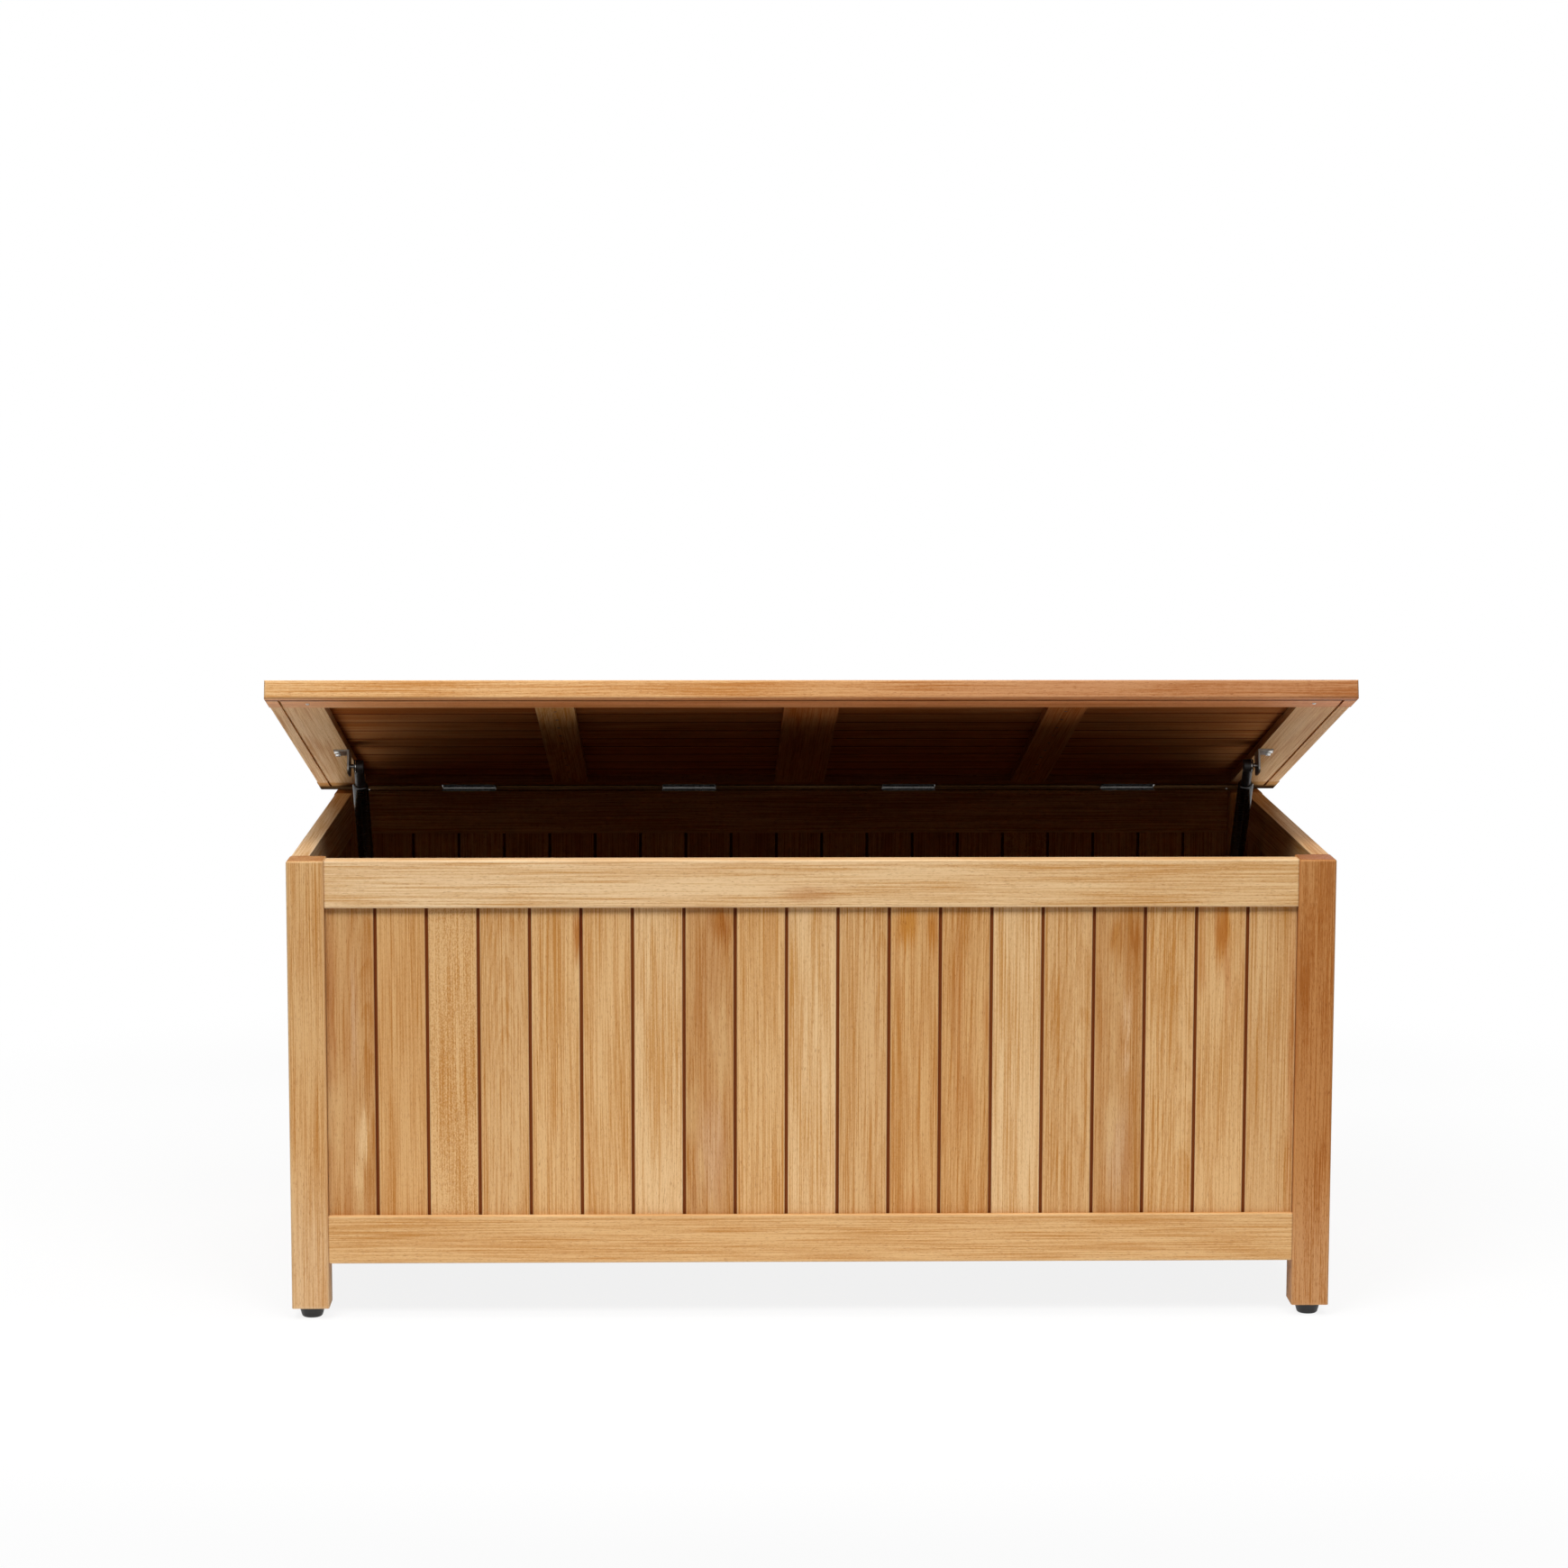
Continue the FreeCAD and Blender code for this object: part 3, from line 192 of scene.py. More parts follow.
class Workings:
    """A node tree in the making."""

    def __init__(self, tree: bpy.types.NodeTree) -> None:
        """Takes the tree to be filled."""
        self.tree = tree

    def feed(self, socket: bpy.types.NodeSocket, value: object) -> None:
        """Links a shade to a socket, or sets the socket's own value.

        Args:
            socket: The input socket.
            value: A shade, a number or a tuple of numbers.
        """
        if isinstance(value, Shade):
            self.tree.links.new(value.socket, socket)
        else:
            socket.default_value = value

    def node(
        self,
        kind: str,
        settings: Mapping[str, object],
        sockets: Mapping[int | str, object],
        output: int | str = 0,
    ) -> Shade:
        """Adds one node.

        Args:
            kind: The node's type.
            settings: The node's properties; "stops" are a ramp's pairs of place and colour.
            sockets: Values or links, by the input's name or number.
            output: The output that is wanted, by name or number.

        Returns:
            The wanted output.
        """
        node = self.tree.nodes.new(kind)
        for name, value in settings.items():
            if name == "stops":
                self._set_stops(node.color_ramp, value)
            else:
                setattr(node, name, value)
        for name, value in sockets.items():
            self.feed(node.inputs[name], value)
        return Shade(self, node.outputs[output])

    @staticmethod
    def _set_stops(ramp: bpy.types.ColorRamp, stops: Sequence[tuple[float, RGB]]) -> None:
        """Gives a ramp flat steps.

        Args:
            ramp: The ramp of a new node.
            stops: Where each step starts, and its colour.
        """
        ramp.interpolation = "CONSTANT"
        ramp.elements.remove(ramp.elements[1])
        for number, (place, colour) in enumerate(stops):
            element = ramp.elements[0] if number == 0 else ramp.elements.new(place)
            element.position = place
            element.color = (*colour, 1.0)

    def point(self, output: str = "Object") -> Shade:
        """The place on the piece, or its own facing with "Normal"."""
        return self.node("ShaderNodeTexCoord", {}, {}, output)

    def vector(self, *parts: float | Shade) -> Shade:
        """A vector from its three parts."""
        return self.node("ShaderNodeCombineXYZ", {}, dict(enumerate(parts)))

    def noise(self, place: Shade, scale: RGB, detail: float = 1.0) -> Shade:
        """Soft noise, 0.5 on the whole; the scale is how often it changes along each axis."""
        sockets = {"Vector": place.stretched(scale), "Scale": 1.0, "Detail": detail}
        return self.node("ShaderNodeTexNoise", {}, sockets)

    def drawn(self, place: Shade, length: float, width: float, detail: float = 1.0) -> Shade:
        """Noise drawn out along the grain, its spots this long and wide in millimetres."""
        return self.noise(place, (1 / length, 1 / width, 1 / width), detail)

    def mix(self, first: RGB | Shade, second: RGB | Shade, share: float | Shade) -> Shade:
        """A mix of two colours.

        Args:
            first: The colour at share 0.
            second: The colour at share 1.
            share: How much of the second there is.

        Returns:
            The mixed colour.
        """
        colours = [value if isinstance(value, Shade) else (*value, 1.0) for value in (first, second)]
        sockets = {0: share, 6: colours[0], 7: colours[1]}
        return self.node("ShaderNodeMix", {"data_type": "RGBA"}, sockets, 2)

    def tinted(self, colour: Shade, tint: RGB | Shade) -> Shade:
        """A colour multiplied by another."""
        second = tint if isinstance(tint, Shade) else (*tint, 1.0)
        settings = {"data_type": "RGBA", "blend_type": "MULTIPLY"}
        return self.node("ShaderNodeMix", settings, {0: 1.0, 6: colour, 7: second}, 2)

    def backdrop_rays(self) -> Shade:
        """1 for rays that see the background, directly or in a reflection."""
        rays = self.node("ShaderNodeLightPath", {}, {}, "Is Camera Ray")
        return rays.most(rays.twin("Is Glossy Ray")).most(rays.twin("Is Transmission Ray"))


class Recipe(Workings):
    """A material in the making: its node tree and its surface shader."""

    def __init__(self, name: str) -> None:
        """Starts a material of that name with a plain surface shader."""
        self.material = bpy.data.materials.new(name)
        self.material.use_nodes = True
        super().__init__(self.material.node_tree)
        self.surface = self.tree.nodes["Principled BSDF"]

    def relief(self, height: Shade, depth: float, strength: float) -> None:
        """Feeds a height from 0 to 1, that many metres deep, to the surface's normal."""
        sockets = {"Height": height, "Distance": depth, "Strength": strength}
        self.finish({"Normal": self.node("ShaderNodeBump", {}, sockets)})

    def finish(self, sockets: Mapping[str, object]) -> Finish:
        """Sets sockets of the surface shader.

        Args:
            sockets: Values or links, by name.

        Returns:
            The material.
        """
        for name, value in sockets.items():
            self.feed(self.surface.inputs[name], value)
        return self.material


@dataclass(frozen=True)
class Pose:
    """Where a body was modelled: a point and a tilt about the axis across the box."""

    origin: Vector = field(default_factory=Vector)
    tilt: float = 0.0

    def matrix(self) -> Matrix:
        """From the body's own axes to the frame."""
        return Matrix.Translation(self.origin) @ Matrix.Rotation(-self.tilt, 4, "X")

    def own_place(self, recipe: Recipe) -> Shade:
        """The place on a piece, in millimetres along the body's own axes."""
        origin = tuple(self.origin)
        place = recipe.point().along("SUBTRACT", origin)
        sockets = {"Vector": place, "Rotation": (self.tilt, 0.0, 0.0), "Scale": (1 / MILLIMETRE,) * 3}
        return recipe.node("ShaderNodeMapping", {}, sockets)

    def own_box(self, piece: Piece) -> tuple[Vector, Vector]:
        """The lowest and highest corner of a piece.

        Args:
            piece: The piece, as it stands in the frame.

        Returns:
            Both corners, in millimetres along the body's own axes.
        """
        places = np.empty(len(piece.data.vertices) * 3)
        piece.data.vertices.foreach_get("co", places)
        back = np.array(self.matrix().inverted())
        own = places.reshape(-1, 3) @ back[:3, :3].T + back[:3, 3]
        return Vector(own.min(0) / MILLIMETRE), Vector(own.max(0) / MILLIMETRE)


@dataclass(frozen=True)
class Boards:
    """A row of boards in one piece: its pitch in millimetres and what each board was picked for."""

    pitch: float
    gap: float
    picks: tuple[tuple[Tone, Figure], ...]

    def ramp(self, share: Shade, choice: int) -> Shade:
        """The tone or the figure of each board as a stepped colour.

        Args:
            share: The board's place in the row, from 0 to 1.
            choice: 0 for the tones, 1 for the figures.

        Returns:
            The colour of the board at that place.
        """
        count = len(self.picks)
        stops = [(number / count, pick[choice].value) for number, pick in enumerate(self.picks)]
        return share.recipe.node("ShaderNodeValToRGB", {"stops": stops}, {0: share})


@dataclass(frozen=True)
class Mark:
    """A flame, streak or stain, or a patch of painted shade or painted light: its middle and half sizes
    across, along and into the stick, in millimetres.

    It has faded out and is full at two distances from its middle, counted in half sizes. A straight
    mark does not wander with the grain.
    """

    across: float
    along: float
    half_width: float
    half_length: float
    colour: RGB
    strength: float = 0.8
    level: float = 0.0
    half_depth: float = 1e6
    straight: bool = False
    faded: float = 1.25
    full: float = 0.3

    def cover(self, spot: Shade, colour: Shade) -> Shade:
        """Lays the mark over a colour.

        Args:
            spot: The place across, along and into the stick, in millimetres.
            colour: The wood's colour.

        Returns:
            The marked colour.
        """
        away = spot.along("SUBTRACT", (self.across, self.along, self.level))
        reach = away.stretched((1 / self.half_width, 1 / self.half_length, 1 / self.half_depth)).length()
        share = reach.span(self.faded, self.full) * self.strength
        return spot.recipe.mix(colour, self.colour, share)


@dataclass(frozen=True)
class Tints:
    """What the picked tone is multiplied by in each part of the wood, and the colour of sapwood; groove is
    painted joint shade, arris partly a painted highlight.
    """

    pale: RGB = (1.12, 1.21, 1.42)
    deep: RGB = (0.77, 0.58, 0.33)
    stain: RGB = (0.80, 0.60, 0.42)
    pore: RGB = (0.52, 0.34, 0.20)
    # Partly a pale worn arris, partly a painted highlight where the eased edges catch the light.
    arris: RGB = (1.10, 1.30, 1.75)
    end_grain: RGB = (0.68, 0.55, 0.44)
    # Painted shade: the board joints and the tongue faces in them are darkened as if in shadow.
    groove: RGB = (0.36, 0.14, 0.045)
    sapwood: RGB = (0.66, 0.42, 0.19)


@dataclass(frozen=True)
class Weights:
    """How much each layer of the figure deepens the colour, about its usual value and the middle."""

    late: float = 0.24
    drift: float = 1.2
    streak: float = 0.7
    fibre: float = 2.3
    vein: float = 0.28
    speck: float = 0.35
    ripple: float = 1.3
    fleck: float = 2.6
    usual: float = 0.18
    middle: float = 0.48
    pore: float = 0.5
    # How strongly the worn arris and its painted highlight are laid on.
    arris: float = 0.4


@dataclass(frozen=True)
class Timber:
    """Oiled hardwood, cut as one stick or as a row of boards; lengths are in millimetres."""

    name: str
    tone: Tone
    grain: Grain
    seed: int
    boards: Boards | None = None
    far_tone: Tone | None = None
    pose: Pose = field(default_factory=Pose)
    ring_pitch: float = 3.8
    heart_spread: float = 260.0
    heart_depth: float = 18.0
    run_out: float = 0.14
    arris: float = 3.0
    sheen: float = 0.15
    contrast: float = 1.1
    marks: tuple[Mark, ...] = ()
    tints: Tints = Tints()
    weights: Weights = Weights()
    log_size: RGB = (4000.0, 900.0, 700.0)
    faint_rings: float = 0.3
    sway: float = 30.0
    warp: float = 8.0
    shiver: float = 1.6
    season: float = 2.2
    stray: tuple[float, float] = (10.0, 90.0)
    # Where the painted joint shade starts and where it is full, in millimetres from a board's edge.
    joint_shade_span: tuple[float, float] = (-0.5, 0.1)
    roughness: float = 0.58

    def material(self, piece: Piece) -> Finish:
        """Makes the finish for one piece.

        Args:
            piece: The piece that it goes on.

        Returns:
            The material.
        """
        recipe = Recipe(self.name)
        low, high = self.pose.own_box(piece)
        middle = (low + high) / 2
        axes = self.pose.own_place(recipe).split()
        along, across, through = (axes[axis] - middle[axis] for axis in self.grain.value)
        length = (high - low)[self.grain.value[0]]
        if self.boards:
            row = across / self.boards.pitch + len(self.boards.picks) / 2
            number = row.whole()
            across = (row.part() - 0.5) * self.boards.pitch
            one_way = {"noise_dimensions": "1D"}
            lot = recipe.node("ShaderNodeTexWhiteNoise", one_way, {"W": number + self.seed}, 1).split()
            share = (number + 0.5) / len(self.boards.picks)
            tone = self.boards.ramp(share, 0)
            stain, sap, ripple = self.boards.ramp(share, 1).split()
            edge = (self.boards.pitch - self.boards.gap) / 2
            arris = abs(across).span(edge - self.arris, edge)
            groove = abs(across).span(*(edge + step for step in self.joint_shade_span))
        else:
            draw = random.Random(self.seed)
            lot = (draw.random(), draw.random(), draw.random())
            far_tone = self.far_tone or self.tone
            tone = recipe.mix(self.tone.value, far_tone.value, along / length + 0.5)
            stain, sap, ripple = Figure.PLAIN.value
            arris = self._arris(axes, low, high)
            groove = 0.0
        log_length, log_width, log_depth = self.log_size
        stock = recipe.vector(
            along + lot[2] * log_length, across + lot[0] * log_width, through + lot[1] * log_depth
        )
        late = self._rings(stock, (along, across, through), lot)
        late = late * (self.faint_rings + (1.0 - self.faint_rings) * lot[0])
        spot = recipe.vector(*(axes[self.grain.value[turn]] for turn in (1, 0, 2)))
        return self._dress(recipe, (stock, spot), tone, late, (arris, groove), (stain, sap, ripple))

    def _arris(self, axes: Sequence[Shade], low: Vector, high: Vector) -> Shade:
        """How near a place is to an edge of the stick.

        Args:
            axes: The place along the body's own axes.
            low: The stick's lowest corner.
            high: The stick's highest corner.

        Returns:
            1 on an edge, falling to 0 a few millimetres away.
        """
        gaps = [(axis - low[i]).least(high[i] - axis) for i, axis in enumerate(axes)]
        smallest = gaps[0].least(gaps[1]).least(gaps[2])
        largest = gaps[0].most(gaps[1]).most(gaps[2])
        second = gaps[0] + gaps[1] + gaps[2] - smallest - largest
        return second.span(self.arris * 1.6, self.arris * 0.2)

    def _rings(self, stock: Shade, place: Sequence[Shade], lot: Sequence[float | Shade]) -> Shade:
        """The year rings, as they meet the surface of the stick.

        Args:
            stock: The place in the timber's own noise.
            place: The place along, across and through the stick.
            lot: Three chance numbers of the stick.

        Returns:
            The late wood, from 0 to 1.
        """
        recipe = stock.recipe
        along, across, through = place
        sway = recipe.noise(recipe.vector(along + lot[1] * 9000, lot[2] * 90, 0.0), (1 / 320, 1.0, 1.0))
        warp = recipe.drawn(stock, 260, 30)
        shiver = recipe.drawn(stock, 45, 7)
        side = across - (lot[1] - 0.5) * self.heart_spread + sway.swing(self.sway)
        depth = through + (lot[2] * 60 + self.heart_depth) + along * ((lot[0] - 0.5) * self.run_out)
        radius = (side * side + depth * depth) ** 0.5 + warp.swing(self.warp) + shiver.swing(self.shiver)
        season = recipe.noise(recipe.vector(radius, lot[0] * 50, 0.0), (1 / 9, 1.0, 1.0))
        phase = (radius / self.ring_pitch + season * self.season).part()
        return phase.span(0.25, 0.85) * phase.span(1.0, 0.9)

    def _marked(self, stock: Shade, spot: Shade, tone: Shade) -> Shade:
        """Lays the marks over the tone; all but the straight ones wander with the grain.

        Args:
            stock: The place in the timber's own noise.
            spot: The place across, along and into the stick.
            tone: The colour that the stick was picked in.

        Returns:
            The marked tone.
        """
        strayed = spot
        if not all(mark.straight for mark in self.marks):
            aside = stock.recipe.drawn(stock, 45, 9).swing(self.stray[0])
            ahead = stock.recipe.drawn(stock, 90, 1.6).swing(self.stray[1])
            strayed = spot.along("ADD", stock.recipe.vector(aside, ahead, 0.0))
        for mark in self.marks:
            tone = mark.cover(spot if mark.straight else strayed, tone)
        return tone

    def _dress(
        self,
        recipe: Recipe,
        places: Sequence[Shade],
        tone: Shade,
        late: Shade,
        edges: Sequence[float | Shade],
        figure: Sequence[float | Shade],
    ) -> Finish:
        """Colours the timber and gives it its relief.

        Args:
            recipe: The material.
            places: The place in the timber's own noise, and across, along and into the piece.
            tone: The colour that the stick was picked in.
            late: The late wood.
            edges: Nearness to an edge, and whether the place lies in a groove.
            figure: Shares of stain, sapwood and ripple.

        Returns:
            The material.
        """
        arris, groove = edges
        stain, sap, ripple = figure
        stock, spot = places
        tone = self._marked(stock, spot, tone)
        tints, weights = self.tints, self.weights
        drift = recipe.drawn(stock, 240, 30)
        streak = recipe.drawn(stock, 340, 6, detail=2.0)
        fibre = recipe.drawn(stock, 150, 1.7, detail=2.0)
        vein = recipe.drawn(stock, 210, 2.6).span(0.57, 0.67)
        pore = recipe.drawn(stock, 8, 0.7).span(0.60, 0.72)
        speck = recipe.drawn(stock, 2.6, 1.8)
        fleck = recipe.drawn(stock, 12, 1.8)
        patch = recipe.drawn(stock, 170, 24, detail=3.0)
        deep = late * weights.late + drift.swing(weights.drift) + streak.swing(weights.streak)
        deep = deep + fibre.swing(weights.fibre) + vein * weights.vein
        deep = deep + speck.swing(ripple * weights.ripple + weights.speck)
        deep = weights.middle + (deep - weights.usual) * self.contrast
        deep = deep + fleck.swing(weights.fleck * (self.contrast - 1.0))
        colour = recipe.mix(recipe.tinted(tone, tints.pale), recipe.tinted(tone, tints.deep), deep)
        colour = recipe.mix(colour, recipe.tinted(tone, tints.stain), patch.span(0.5, 0.75) * stain)
        colour = recipe.mix(colour, tints.sapwood, patch.span(0.5, 0.25) * sap)
        colour = recipe.mix(colour, recipe.tinted(tone, tints.pore), pore * weights.pore * self.contrast)
        # Pale worn arris with a painted highlight.
        colour = recipe.mix(colour, recipe.tinted(tone, tints.arris), arris * weights.arris)
        end = abs(recipe.point("Normal").split()[self.grain.value[0]]).span(0.75, 0.95)
        colour = recipe.mix(colour, recipe.tinted(colour, tints.end_grain), end)
        # Painted shade in the board joints.
        colour = recipe.mix(colour, recipe.tinted(tone, tints.groove), groove)
        height = fibre * 0.6 + late * 0.3 + (1.0 - pore) * 0.6
        recipe.relief(height, depth=0.0003, strength=0.12)
        rough = self.roughness + streak.swing(0.2) + pore * 0.15 + arris * 0.05
        return recipe.finish({"Base Color": colour, "Roughness": rough, "Specular IOR Level": self.sheen})


@dataclass(frozen=True)
class Metal:
    """Plated or polished steel with fine drawn lines and small spots."""

    name: str
    colour: RGB
    dull: RGB
    roughness: float
    lines: RGB = (0.05, 0.9, 0.9)

    def material(self) -> Finish:
        """Makes the finish."""
        recipe = Recipe(self.name)
        place = Pose().own_place(recipe)
        drawn = recipe.noise(place, self.lines, 2.0)
        cloud = recipe.noise(place, (0.16, 0.16, 0.16), 3.0)
        spot = recipe.noise(place, (1.4, 1.4, 1.4), 1.0).span(0.66, 0.74)
        colour = recipe.mix(self.colour, self.dull, cloud.span(0.4, 0.7) * 0.5 + spot * 0.4)
        rough = self.roughness + drawn.swing(0.2) + cloud * 0.08 + spot * 0.15
        recipe.relief(drawn, depth=0.00005, strength=0.3)
        return recipe.finish({"Base Color": colour, "Roughness": rough, "Metallic": 1.0})


@dataclass(frozen=True)
class Coating:
    """Black paint or moulded plastic with a fine skin and dusty scuffs."""

    name: str
    colour: RGB
    dust: RGB
    roughness: float
    skin: float
    scuffs: float
    gloss: float = 0.0

    def material(self) -> Finish:
        """Makes the finish."""
        recipe = Recipe(self.name)
        place = Pose().own_place(recipe)
        skin = recipe.noise(place, (self.skin,) * 3, 2.0)
        scuff = recipe.noise(place, (0.09, 0.09, 0.5), 4.0).span(0.52, 0.72)
        colour = recipe.mix(self.colour, self.dust, scuff * self.scuffs)
        rough = self.roughness + skin.swing(0.15) + scuff * 0.2
        recipe.relief(skin, depth=0.0001, strength=0.3)
        return recipe.finish({"Base Color": colour, "Roughness": rough, "Coat Weight": self.gloss})


@dataclass(frozen=True)
class Rubber:
    """Clear soft rubber of the lid's bumpers."""

    name: str = "bumper_rubber"
    colour: RGB = (0.80, 0.79, 0.76)
    cloudy: RGB = (0.66, 0.63, 0.57)

    def material(self) -> Finish:
        """Makes the finish."""
        recipe = Recipe(self.name)
        cloud = recipe.noise(Pose().own_place(recipe), (0.7, 0.7, 0.7), 2.0)
        colour = recipe.mix(self.colour, self.cloudy, cloud.span(0.4, 0.7))
        return recipe.finish({"Base Color": colour, "Roughness": 0.22 + cloud * 0.2})


class Shop:
    """Shared shaping of the small pieces."""

    sharp_from = math.radians(35)

    @staticmethod
    def piece(mesh: Mesh, name: str, finish: Finish, body: str) -> Piece:
        """Turns a finished mesh into a piece that rides on a body.

        Args:
            mesh: The mesh, in place in the frame; it is freed.
            name: The piece's name.
            finish: The material.
            body: The body that carries it.

        Returns:
            The piece.
        """
        bmesh.ops.remove_doubles(mesh, verts=mesh.verts, dist=SEAM)
        bmesh.ops.recalc_face_normals(mesh, faces=mesh.faces)
        data = bpy.data.meshes.new(name)
        mesh.to_mesh(data)
        mesh.free()
        data.polygons.foreach_set("use_smooth", [True] * len(data.polygons))
        data.set_sharp_from_angle(angle=Shop.sharp_from)
        data.materials.append(finish)
        made = bpy.data.objects.new(name, data)
        bpy.context.scene.collection.objects.link(made)
        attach(made, body)
        LOG.info("%s rides on %s", name, body)
        return made

    @staticmethod
    def turned(outline: Sequence[tuple[float, float]], closed: bool, steps: int, place: Matrix) -> Mesh:
        """Turns an outline about the upright axis and puts it in place.

        Args:
            outline: Radius and height of each corner, in metres.
            closed: Whether the last corner joins the first.
            steps: The number of sides.
            place: Where it goes.

        Returns:
            The mesh.
        """
        mesh = bmesh.new()
        corners = [mesh.verts.new((radius, 0.0, height)) for radius, height in outline]
        edges = [mesh.edges.new(pair) for pair in zip(corners, corners[1:])]
        if closed:
            edges.append(mesh.edges.new((corners[-1], corners[0])))
        bmesh.ops.spin(
            mesh, geom=corners + edges, axis=(0, 0, 1), cent=(0, 0, 0),
            angle=math.tau, steps=steps, use_merge=True,
        )
        bmesh.ops.remove_doubles(mesh, verts=mesh.verts, dist=SEAM / 10)
        mesh.transform(place)
        return mesh

    @staticmethod
    def add(target: Mesh, source: Mesh, place: Matrix) -> None:
        """Adds a mesh to another.

        Args:
            target: The mesh that grows.
            source: The mesh that is added; it is freed.
            place: Where it goes.
        """
        source.transform(place)
        data = bpy.data.meshes.new("joined")
        source.to_mesh(data)
        source.free()
        target.from_mesh(data)
        bpy.data.meshes.remove(data)

    @staticmethod
    def islands(piece: Piece) -> list[np.ndarray]:
        """The separate solids of a piece.

        Args:
            piece: A piece of the frame.

        Returns:
            The corners of each solid, from the lowest X up.
        """
        copy = bmesh.new()
        copy.from_mesh(piece.data)
        bmesh.ops.remove_doubles(copy, verts=copy.verts, dist=SEAM)
        waiting = set(copy.verts)
        found = []
        while waiting:
            ahead = [waiting.pop()]
            solid = []
            while ahead:
                vertex = ahead.pop()
                solid.append(tuple(vertex.co))
                linked = {edge.other_vert(vertex) for edge in vertex.link_edges} & waiting
                waiting -= linked
                ahead += linked
            found.append(np.array(solid))
        copy.free()
        return sorted(found, key=lambda solid: tuple(solid.min(0)))


@dataclass
class Assembly:
    """A sub-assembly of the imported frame."""

    frame: dict

    def paint(self, node: str, finish: Finish) -> None:
        """Gives a piece of the frame its finish.

        Args:
            node: The piece's name in the frame.
            finish: The material.
        """
        piece = self.frame["nodes"][node]
        if piece.data.users > 1:
            raise RuntimeError(f"{piece.name} shares its mesh")
        piece.data.materials.clear()
        piece.data.materials.append(finish)
        LOG.info("%s is finished in %s", piece.name, finish.name)

    def cut(self, sticks: Iterable[Stick], first: int, pose: Pose) -> None:
        """Finishes wooden pieces, each cut from a stick of its own.

        Args:
            sticks: The sticks, in order.
            first: The number of the first one; the others count on from it.
            pose: Where the pieces' body was modelled.
        """
        for seed, (node, tone, grain, special) in enumerate(sticks, start=first):
            timber = Timber(f"timber_{node}", tone, grain, seed, pose=pose, **special)
            self.paint(node, timber.material(self.frame["nodes"][node]))


@dataclass
class Screws(Assembly):
    """A set of cross-head screws that stands for one group of the frame's plain screws.

    Sizes are in metres. The rim of the flat top, the shoulder, the cross's arms, the field round
    them and the cross's floor are shares.
    """

    name: str
    node: str
    body: str
    aim: Vector
    head: float
    crown: float
    shank: float
    sunk: float
    slot: str = "zinc_screw"
    reach: tuple[float, float] = (0.0, 1.0)
    flush: float = 0.0
    infill: int = 0
    arm: float = 0.55
    field_size: float = 1.5
    recess: float = 0.0012
    rim: float = 0.86
    shoulder: tuple[float, float] = (0.97, 0.35)
    floor: float = 0.72
    cells: int = 6

    def _screw(self, length: float) -> Mesh:
        """One screw, its head's top at the origin and its shank along +Z.

        Args:
            length: Its whole length.

        Returns:
            The screw's mesh.
        """
        mesh = bmesh.new()
        arms = self.head * self.arm * self.field_size
        bmesh.ops.create_grid(mesh, x_segments=self.cells, y_segments=self.cells, size=arms / 2)
        step = arms / self.cells
        middles = {face: sorted(map(abs, face.calc_center_median().xy)) for face in mesh.faces}
        inside = [face for face, (near, far) in middles.items() if near < step and far < 2 * step]
        rim = [edge for edge in mesh.edges if edge.is_boundary]
        cut = bmesh.ops.extrude_face_region(mesh, geom=inside)["geom"]
        floor = [part for part in cut if isinstance(part, bmesh.types.BMVert)]
        bmesh.ops.scale(mesh, vec=(self.floor, self.floor, 1.0), verts=floor)
        bmesh.ops.translate(mesh, vec=(0.0, 0.0, self.recess), verts=floor)
        sides = 4 * self.cells
        ring = bmesh.ops.create_circle(mesh, segments=sides, radius=self.head * self.rim)["verts"]
        loop = list(dict.fromkeys(edge for vertex in ring for edge in vertex.link_edges))
        bmesh.ops.bridge_loops(mesh, edges=rim + loop)
        neck = self.shank / self.head
        shoulder = (self.shoulder[0], self.crown * self.shoulder[1])
        steps = (shoulder, (1.0, self.crown), (neck, self.crown + self.sunk), (neck, length))
        size = self.rim
        for share, height in steps:
            moved = bmesh.ops.extrude_edge_only(mesh, edges=loop)["geom"]
            ring = [part for part in moved if isinstance(part, bmesh.types.BMVert)]
            loop = [part for part in moved if isinstance(part, bmesh.types.BMEdge)]
            bmesh.ops.scale(mesh, vec=(share / size, share / size, 1.0), verts=ring)
            bmesh.ops.translate(mesh, vec=(0.0, 0.0, height - ring[0].co.z), verts=ring)
            size = share
        bmesh.ops.contextual_create(mesh, geom=loop)
        return mesh

    def build(self, finish: Finish) -> None:
        """Makes the set where the frame's screws are.

        Args:
            finish: The screws' material.
        """
        rows: dict[float, list[tuple[Vector, Vector, float]]] = {}
        for solid in Shop.islands(self.frame["nodes"][self.node]):
            centre = Vector((solid.min(0) + solid.max(0)) / 2)
            if not self.reach[0] < abs(centre.x) < self.reach[1]:
                continue
            aim = self.aim if self.aim.length else Vector((math.copysign(1.0, centre.x), 0.0, 0.0))
            heights = solid @ np.array(aim)
            top, end = float(heights.min()) + self.flush, float(heights.max())
            start = centre + aim * (top - centre.dot(aim))
            rows.setdefault(round(centre.x, 4), []).append((start, aim, end - top))
        whole = bmesh.new()
        for row in rows.values():
            for step in range(self.infill):
                share = (step + 1) / (self.infill + 1)
                row.append((row[0][0].lerp(row[1][0], share), row[0][1], row[0][2]))
            for start, aim, length in row:
                place = Matrix.Translation(start) @ aim.to_track_quat("Z", "Y").to_matrix().to_4x4()
                Shop.add(whole, self._screw(length), place)
        made = Shop.piece(whole, self.name, finish, self.body)
        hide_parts(self.node)


